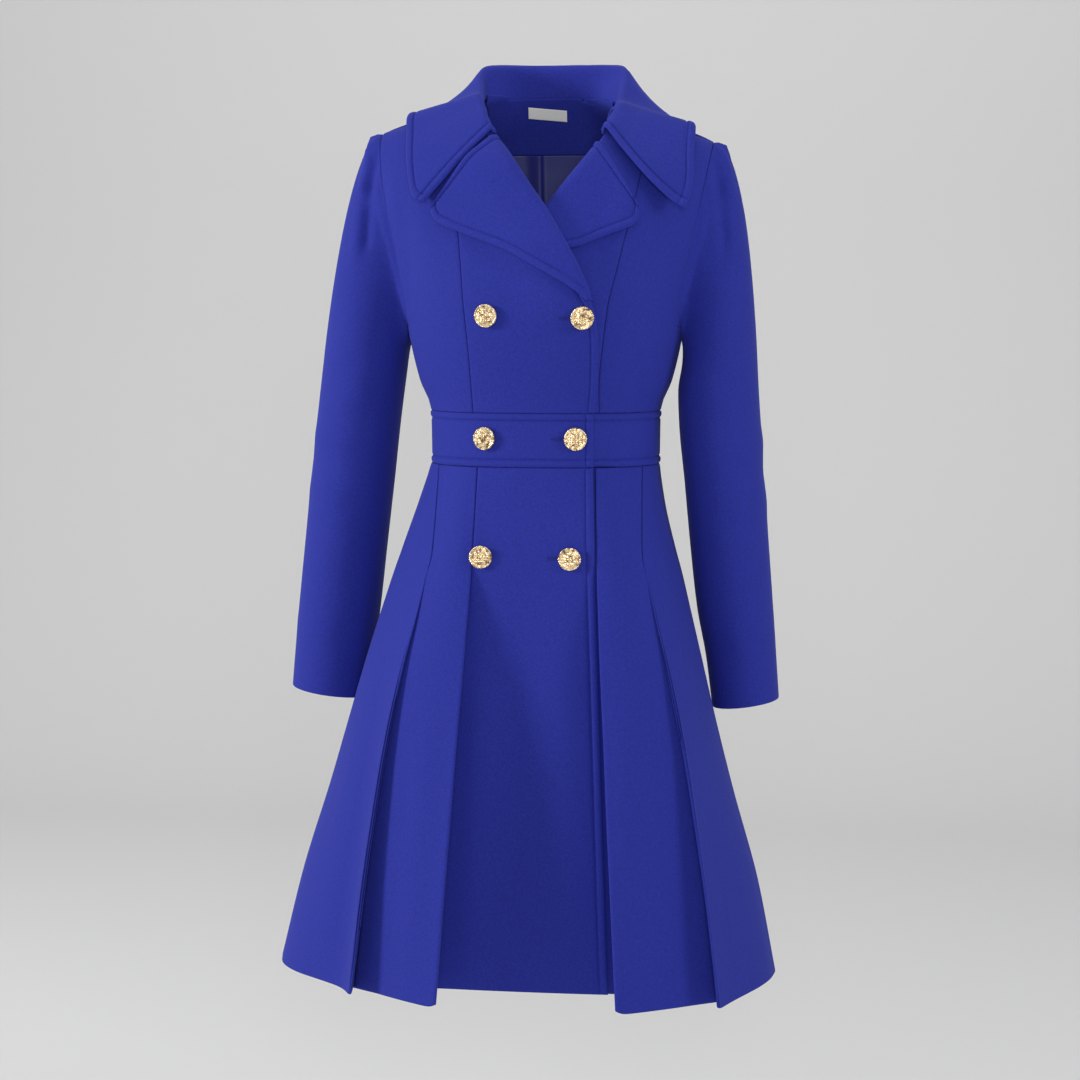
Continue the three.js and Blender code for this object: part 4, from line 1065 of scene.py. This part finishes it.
def collar(material):
    """The collar as lines across it: neck seam, stand, fold, fall and outer edge."""
    share = np.linspace(0, 1, 220)
    neck = along(neck_seam(), share)
    fold = along(np.stack([COLLAR["fx"], COLLAR["fy"], COLLAR["fz"]], -1), share)
    edge = along(np.stack([COLLAR["ex"], COLLAR["ey"], COLLAR["ez"]], -1), share)
    level = np.array([1, 1, 0])
    out = unit((edge - fold) * level)
    high = np.clip((fold[:, 2:] - neck[:, 2:]) / 2, COLLAR_FOLD["least"], COLLAR_FOLD["most"])
    up = np.array([0, 0, 1])
    in_fold = fold - 0.6 * high * out - high * up
    out_fold = fold + high * out - 0.35 * high * up
    profile = [neck, lerp(neck, in_fold, 0.55), in_fold, fold, out_fold]
    sag = COLLAR_SAG + COLLAR_END_SAG * smooth(*SAG_END, share)[:, None]
    for part in (0.2, 0.4, 0.6, 0.8):
        profile.append(lerp(out_fold, edge, part) - sag * part * (1 - part) * up)
    profile.append(edge)
    stand_off = (COLLAR_STAND_OFF["left"] * smooth(*LEFT_END, share)
                 + COLLAR_STAND_OFF["right"] * smooth(*RIGHT_END, share))
    for j in range(4, len(profile)):
        part = (j - 3) / 6
        reach = COLLAR_CLOTH + lerp(*COLLAR_CLEARANCE, part) + stand_off * part**2
        cleared = clear_of_torso(profile[j], reach)
        profile[j] = profile[j] + evened(cleared - profile[j])
    points = np.stack(profile, 1)
    sheet = np.array([spline(row, 14) for row in points])
    edges = {"start": "sewn", "end": "sewn", "left": "seam", "right": "sewn"}
    panel("collar", sheet, edges, material, 6.0, thick=COLLAR_CLOTH, held="folded")


def lapel(side, material):
    """A lapel as lines across it, turned over at the roll and lying on its front."""
    sign = SIDES[side]
    share = np.linspace(0, 1, 130)
    roll = along(ROLL[side][::-1], share)
    edge = along(LAPEL_EDGE[side], share)
    width = np.maximum(np.linalg.norm(edge - roll, axis=1), LAPEL_LEAST)[:, None]
    way = unit(edge - roll)
    fallback = unit(np.array([[sign, -0.1]]))
    way = np.where(way[:, :1] * sign < 0.3, fallback, way)
    reach = np.concatenate([np.linspace(0, 1, 14) * TURN_OVER + 0 * width,
                            TURN_OVER + np.linspace(0, 1, 60)[1:]
                            * np.maximum(width - TURN_OVER, 2)], 1)
    part = np.clip(reach / width, 0, 1)
    bow = LAPEL_BOW[side] * 4 * part * (1 - part) * (1 - share[:, None]) ** 8
    x = roll[:, :1] + way[:, :1] * reach
    z = roll[:, 1:] + way[:, 1:] * reach + bow
    points, normals = front_surface(x, z, LAP[side])
    raise_ = smooth(0.75, 0.9, share)[:, None]
    layer = LAPEL_LAYER[side]
    base = lerp(-CLOTH, layer + 0.4 * LAPEL_CLOTH, raise_)
    arc = np.sqrt(np.clip(1 - (1 - reach / TURN_OVER) ** 2, 0, 1))
    arc = np.where(reach >= TURN_OVER, 1, arc)
    height = lerp(base, layer + LAPEL_CLOTH, arc)
    sheet = points + normals * height[..., None]
    edges = {"start": "sewn", "end": "plain", "left": "plain", "right": "sewn"}
    panel(f"lapel_{side}", sheet, edges, material, 6.0, thick=LAPEL_CLOTH, outward=sign,
          held="folded")


# What shows inside the neck lies on the inner face of the back
def inside_back(name, ends, top, bottom, depth, thick, material, slot, fold=lambda x: 0 * x):
    """A sheet between two x on the back's inner face, with its top and bottom as functions of x."""
    x = np.linspace(*ends, 160)[None, :] + np.zeros((60, 1))
    share = np.linspace(0, 1, 60)[:, None]
    z = lerp(top(x), bottom(x), share)
    points, normals = back_surface(x, z)
    inset = depth + thick + fold(x)
    sheet = points - normals * inset[..., None]
    edges = all_edges("plain")
    cloth(name, graded(sheet, edges, 3.0), edges, material, slot, thick=thick)


def neck_pieces(wool, lining, label):
    depth = CLOTH + LINING_LAYER

    def facing_top(x):
        return back_top(x) + FACING_RISE + FACING_END_RISE * smooth(46, 64, np.abs(x))

    def pleat(x):
        start = PLEAT_X - BACK_PLEAT["wide"]
        return (BACK_PLEAT["rise"] * smooth(start, PLEAT_X, x)
                * smooth(PLEAT_X + BACK_PLEAT["edge"], PLEAT_X, x))

    def label_edge(side):
        return lambda x: LABEL["z"] + side * LABEL["high"] / 2 + LABEL["turn"] * (x - LABEL["x"])

    inside_back("back_neck_facing", FACING_X, facing_top, lambda x: FACING_END + 0 * x, depth,
                LINING, wool, "coating")
    inside_back("back_lining", LINING_X, lambda x: FACING_END - SEAM + 0 * x,
                lambda x: LINING_END + 0 * x, depth, LINING, lining, "lining_cloth", pleat)
    label_ends = (LABEL["x"] - LABEL["wide"] / 2, LABEL["x"] + LABEL["wide"] / 2)
    inside_back("neck_label", label_ends, label_edge(1), label_edge(-1),
                depth + LINING + LABEL["gap"], LABEL["thick"], label, "label_cloth")


# Buttons and buttonholes
def front_place(x, z):
    """A point of the right front and the way out of it, on the bodice, band or skirt."""
    if z > WAIST_BOTTOM:
        lap = roll_lift if z > WAIST_TOP else no_lap
        points, normals = front_surface(np.array([x]), np.array([z]), lap)
        return points[0], normals[0]

    def depth(at_x, at_z):
        return float(middle_depth(skirt_places(np.array(float(at_z)), sign_of(x), False), at_x))

    slope = (depth(x, z - 5) - depth(x, z + 5)) / 10
    across = depth(x + 1, z) - depth(x, z)
    return np.array([x, -depth(x, z), z]), unit(np.array([across, -1, -slope]))


def face_height(radius, angle):
    """Relief of a button's face: a woven rosette of six petals inside a sunken ring."""
    share = radius / 10.0
    dome = DOME - DOME_DROP * share**2
    across, up = radius * np.cos(angle), radius * np.sin(angle)
    pitch = WEAVE["pitch"]
    weave = WEAVE["height"] * np.sin(pitch * (across + up)) * np.sin(pitch * (across - up))
    lobes = np.abs(np.cos(PETALS["pairs"] * angle)) ** 0.6
    petals = PETALS["height"] * lobes * np.sin(np.pi * np.clip(share * 1.3, 0, 1))
    moat = -MOAT["depth"] * np.exp(-(((radius - MOAT["radius"]) / MOAT["half"]) ** 2))
    inside = np.clip(MOAT["radius"] + 0.1 - radius, 0, 1)
    return dome + (weave + petals) * inside + moat


def button(name, x, z, material):
    """A button seated on the cloth: its shank, its rim of reeds and its patterned face."""
    angle = np.linspace(0, 2 * np.pi, 112, endpoint=False)

    def circle(r, h):
        return np.stack([r * np.cos(angle), r * np.sin(angle), h + 0 * angle], -1)

    points = [circle(r, h) for r, h in BUTTON_BACK]
    reeds = REEDS["depth"] * np.cos(REEDS["count"] * angle)
    for t in np.linspace(0, 1, 7):
        r = BUTTON_RADIUS - RIM["tuck"] * (1 - np.cos(np.pi * t)) + reeds * (1 - t) * 0.6
        h = RIM["level"] + RIM["height"] * np.sin(np.pi * t * 0.85) + reeds * np.sin(np.pi * t)
        points.append(circle(r, h))
    for r in np.concatenate([[10.3, 9.9], np.linspace(FACE_EDGE, 0.05, 30)]):
        rise = face_height(min(r, FACE_EDGE), angle)
        h = rise if r <= FACE_EDGE else lerp(3.1, rise, FACE_EDGE + 1 - r)
        points.append(circle(r, h))
    grid = np.array(points)
    place, normal = front_place(x, z)
    right = unit(np.cross(np.array([0, 0, 1.0]), normal))
    up = np.cross(normal, right)
    world = (place + normal * SEAM + grid[..., :1] * right + grid[..., 1:2] * up
             + grid[..., 2:] * normal)
    rows, columns = grid.shape[:2]
    faces = grid_faces(rows, columns, 0, True).tolist()
    faces.append(list(range(columns))[::-1])
    faces.append([(rows - 1) * columns + k for k in range(columns)])
    declared(make_object(name + "_metal", world.reshape(-1, 3), faces, material),
             name)


def gathered(name, parts, material, smooth_faces=True):
    """One piece made of many small closed shapes, given as points and faces."""
    points, faces, count = [], [], 0
    for made, shapes in parts:
        points.append(made)
        faces += [[v + count for v in face] for face in shapes]
        count += len(made)
    piece = make_object(name, np.concatenate(points), faces, material, smooth_faces)
    declared(piece)


def thread(centres, ways, normals, length, radius):
    """Points and faces of short stitches lying on the cloth."""
    sides = 6
    beside = np.cross(ways, normals)
    points, faces = [], []
    for end, size, dip in ((-0.5, 0.35, -0.25), (-0.34, 1, 0), (0.34, 1, 0), (0.5, 0.35, -0.25)):
        for k in range(sides):
            turn = 2 * math.pi * k / sides
            points.append(centres + ways * end * length
                          + beside * math.cos(turn) * radius * size
                          + normals * (math.sin(turn) * radius * size * 0.8 + dip * radius))
    points = np.stack(points, 1)
    shape = grid_faces(4, sides, 0, True)
    caps = [list(range(sides))[::-1], [3 * sides + k for k in range(sides)]]
    for k in range(len(centres)):
        faces += (shape + k * 4 * sides).tolist()
        faces += [[v + k * 4 * sides for v in cap] for cap in caps]
    return points.reshape(-1, 3), faces


def stitch_line(name, edge):
    """The line of stitches along one edge of a piece, with the way out of the cloth."""
    piece = PIECES[name]
    inset = INSET[piece["edges"][edge]]
    step = -1 if edge in ("right", "end") else 1

    def pick(values):
        return (turned(values) if edge in ("start", "end") else values)[:, ::step]

    outer, normals = pick(piece["outer"]), pick(piece["normals"])
    distances = {name: pick(values) for name, values in piece["distances"].items()}
    others = [distances[other] for other in distances
              if other != edge and piece["edges"][other] in INSET]
    line, ways = [], []
    for i, gaps in enumerate(distances[edge]):
        near = any(np.interp(inset, gaps, other[i]) < inset for other in others)
        if gaps[-1] < inset or near:
            continue
        line.append([np.interp(inset, gaps, outer[i, :, k]) for k in range(3)])
        ways.append([np.interp(inset, gaps, normals[i, :, k]) for k in range(3)])
    return np.array(line), unit(np.array(ways))


STITCHED = [
    ("bodice_centre_front_right", "right"),
    ("skirt_centre_front_right", "right"),
    ("waistband_right", "start"), ("waistband_right", "end"), ("waistband_right", "right"),
    ("waistband_left", "start"), ("waistband_left", "end"),
    ("waistband_back", "start"), ("waistband_back", "end"),
    ("collar", "start"), ("collar", "end"), ("collar", "right"),
    ("lapel_right", "start"), ("lapel_right", "right"),
    ("lapel_left", "start"), ("lapel_left", "right"),
]


def stitching(material):
    """All the topstitching as one piece of short stitches."""
    pitch = STITCH["pitch"]
    parts = []
    for name, edge in STITCHED:
        line, ways = stitch_line(name, edge)
        lengths = lengths_of(line)
        wanted = np.arange(pitch, lengths[-1] - pitch, pitch)
        centres = at_lengths(line, lengths, wanted)
        normals = unit(at_lengths(ways, lengths, wanted))
        directions = unit(at_lengths(line, lengths, wanted + 1) - at_lengths(
            line, lengths, wanted - 1))
        parts.append(thread(centres + normals * STITCH["above"], directions, normals,
                            STITCH["length"], STITCH["radius"]))
    gathered("topstitching", parts, material)


def buttonholes(material, dark):
    """Buttonholes beside the buttons nearest the front edge: a slit of painted shade in a rim of
    thread.
    """
    steps = np.arange(-HOLE_HALF, HOLE_HALF + 0.1, HOLE_PITCH)
    rims, slits = [], []
    for name, x, z in BUTTONS:
        if "left" not in name:
            continue
        centres, normals, ways, bar = [], [], [], []
        for step in steps:
            place, normal = front_place(x - HOLE_SET + step, z)
            up = unit(np.cross(normal, np.cross(np.array([0, 0, 1.0]), normal)))
            for lean in (-1, 1):
                centres.append(place + up * lean * HOLE_THREAD["beside"]
                               + normal * HOLE_THREAD["above"])
                normals.append(normal)
                ways.append(up)
            bar.append([place + up * across + normal * above for across, above in SLIT])
        rims.append(thread(np.array(centres), np.array(ways), np.array(normals),
                           HOLE_THREAD["length"], HOLE_THREAD["radius"]))
        last = (len(steps) - 1) * len(SLIT)
        shapes = grid_faces(len(steps), len(SLIT), 0, True).tolist()
        shapes += [[3, 2, 1, 0], [last + k for k in range(len(SLIT))]]
        slits.append((np.array(bar).reshape(-1, 3), shapes))
    gathered("buttonhole_thread", rims, material)
    gathered("buttonhole_slits", slits, dark, False)


# Materials
def new_material(name):
    material = bpy.data.materials.new(name)
    material.use_nodes = True
    nodes = material.node_tree.nodes
    return material, nodes, material.node_tree.links, nodes["Principled BSDF"]


def colour_and_relief(nodes, links, shader, pattern, stops, bump, distance):
    """Joins a pattern to the shader's colour, by two stops, and to its relief."""
    ramp = nodes.new("ShaderNodeValToRGB")
    for element, (position, colour) in zip(ramp.color_ramp.elements, stops):
        element.position = position
        element.color = (*colour, 1)
    relief = nodes.new("ShaderNodeBump")
    relief.inputs["Strength"].default_value = bump
    relief.inputs["Distance"].default_value = distance
    links.new(pattern, ramp.inputs["Fac"])
    links.new(ramp.outputs["Color"], shader.inputs["Base Color"])
    links.new(pattern, relief.inputs["Height"])
    links.new(relief.outputs["Normal"], shader.inputs["Normal"])
    return relief


def textured(name, dark, light, scale, roughness, bump, distance, sheen=0.0):
    """A material whose colour and relief come from fine noise in the cloth's own space."""
    material, nodes, links, shader = new_material(name)
    place = nodes.new("ShaderNodeTexCoord")
    noise = nodes.new("ShaderNodeTexNoise")
    noise.inputs["Scale"].default_value = scale
    noise.inputs["Detail"].default_value = 6
    noise.inputs["Roughness"].default_value = 0.65
    links.new(place.outputs["Object"], noise.inputs["Vector"])
    colour_and_relief(nodes, links, shader, noise.outputs["Fac"], ((0.36, dark), (0.66, light)),
                      bump, distance)
    shader.inputs["Roughness"].default_value = roughness
    shader.inputs["Sheen Weight"].default_value = sheen
    shader.inputs["Sheen Roughness"].default_value = 0.45
    return material


def wool_material():
    material = textured("coating_wool", (0.0120, 0.0190, 0.222), (0.0160, 0.0258, 0.296),
                        scale=420, roughness=0.85, bump=0.30, distance=0.0010, sheen=0.07)
    shader = material.node_tree.nodes["Principled BSDF"]
    shader.inputs["Sheen Tint"].default_value = (0.30, 0.34, 0.95, 1)
    shader.inputs["Specular IOR Level"].default_value = 0.25
    return material


def lining_material():
    return textured("blue_lining", (0.014, 0.017, 0.16), (0.020, 0.024, 0.22),
                    scale=2200, roughness=0.5, bump=0.15, distance=0.0002)


def label_material():
    return textured("white_label", (0.72, 0.72, 0.70), (0.86, 0.86, 0.84),
                    scale=2600, roughness=0.7, bump=0.2, distance=0.0002)


# Painted shade: the dark sheet that stands for the shadow inside a buttonhole's slit
def slit_shadow_material():
    return textured("slit_shadow", (0.004, 0.005, 0.03), (0.008, 0.010, 0.05),
                    scale=900, roughness=0.9, bump=0.1, distance=0.0002)


def gold_material():
    """Polished gold with painted shade: dark in the hollows between small raised grains."""
    material, nodes, links, shader = new_material("gold_button")
    place = nodes.new("ShaderNodeTexCoord")
    grains = nodes.new("ShaderNodeTexVoronoi")
    grains.inputs["Scale"].default_value = 330
    links.new(place.outputs["Object"], grains.inputs["Vector"])
    # Painted shade: light gold on the grains, dark brown towards their edges where the relief sinks
    stops = ((0.46, (0.98, 0.80, 0.52)), (0.88, (0.20, 0.11, 0.04)))
    relief = colour_and_relief(nodes, links, shader, grains.outputs["Distance"], stops,
                               bump=0.5, distance=0.0006)
    relief.invert = True
    shader.inputs["Roughness"].default_value = 0.3
    shader.inputs["Metallic"].default_value = 0.85
    return material


def backdrop_material():
    return textured("pale_backdrop", (0.640, 0.640, 0.640), (0.642, 0.642, 0.642),
                    scale=4, roughness=0.95, bump=0.0, distance=0.0005)


# Stage, light and camera
def backdrop():
    """A pale floor that curves up into a wall far behind."""
    floor, far, bend, wide = -1300.0, 3600.0, 1400.0, 9000.0
    profile = [(-5000.0, floor)]
    for turn in np.linspace(0, np.pi / 2, 24):
        profile.append((far - bend + bend * np.sin(turn), floor + bend * (1 - np.cos(turn))))
    profile.append((far, 5000.0))
    points = [(x, y, z) for y, z in profile for x in (-wide, wide)]
    faces = [[2 * k, 2 * k + 1, 2 * k + 3, 2 * k + 2] for k in range(len(profile) - 1)]
    sheet = make_object("backdrop", points, faces, backdrop_material())


def set_towards(thing, place, target):
    """Puts a light or the camera at a place, looking at a target."""
    thing.location = place
    thing.rotation_mode = "QUATERNION"
    thing.rotation_quaternion = (Vector(target) - Vector(place)).to_track_quat("-Z", "Y")
    bpy.context.scene.collection.objects.link(thing)


def area_light(name, place, target, size, power):
    data = bpy.data.lights.new(name, "AREA")
    data.shape = "DISK"
    data.size = size
    data.energy = power
    lamp = bpy.data.objects.new(name, data)
    set_towards(lamp, place, target)


# Name, place, target, size in metres and power in watts
LIGHTS = [
    ("key", (-3.2, -1.1, 0.45), (0, 0, -0.45), 0.8, 90),
    ("front", (0.5, -3.3, 0.15), (0, 0, -0.3), 0.8, 33),
    ("fill", (2.9, -1.0, 0.5), (0, 0, -0.5), 1.2, 33),
    ("wall", (0, 0.6, 2.9), (0, 3.2, -0.6), 3.0, 53),
]
WORLD_LIGHT = 0.36


def lights():
    for light in LIGHTS:
        area_light(*light)
    world = bpy.data.worlds.new("studio")
    world.use_nodes = True
    sky = world.node_tree.nodes["Background"].inputs
    sky["Color"].default_value = (1, 1, 1, 1)
    sky["Strength"].default_value = WORLD_LIGHT
    bpy.context.scene.world = world


CAMERA_PLACE = (0.3169, -2.5806, -0.202)
CAMERA_TARGET = (-0.00667, -0.00082, -0.470)
LENS = 77.79
SENSOR = 36


def camera():
    data = bpy.data.cameras.new("camera")
    data.sensor_width = SENSOR
    data.lens = LENS
    data.clip_start, data.clip_end = 0.1, 50
    view = bpy.data.objects.new("camera", data)
    set_towards(view, CAMERA_PLACE, CAMERA_TARGET)
    bpy.context.scene.camera = view


wool = wool_material()
bodice(wool)
centre_back(wool)
waistband(wool)
skirt(wool)
for side in SIDES:
    sleeve(side, wool)
    lapel(side, wool)
collar(wool)
neck_pieces(wool, lining_material(), label_material())
gold = gold_material()
for name, x, z in BUTTONS:
    button(name, x, z, gold)
stitching(wool)
buttonholes(wool, slit_shadow_material())
backdrop()
lights()
camera()
bpy.context.scene.view_settings.view_transform = "Standard"
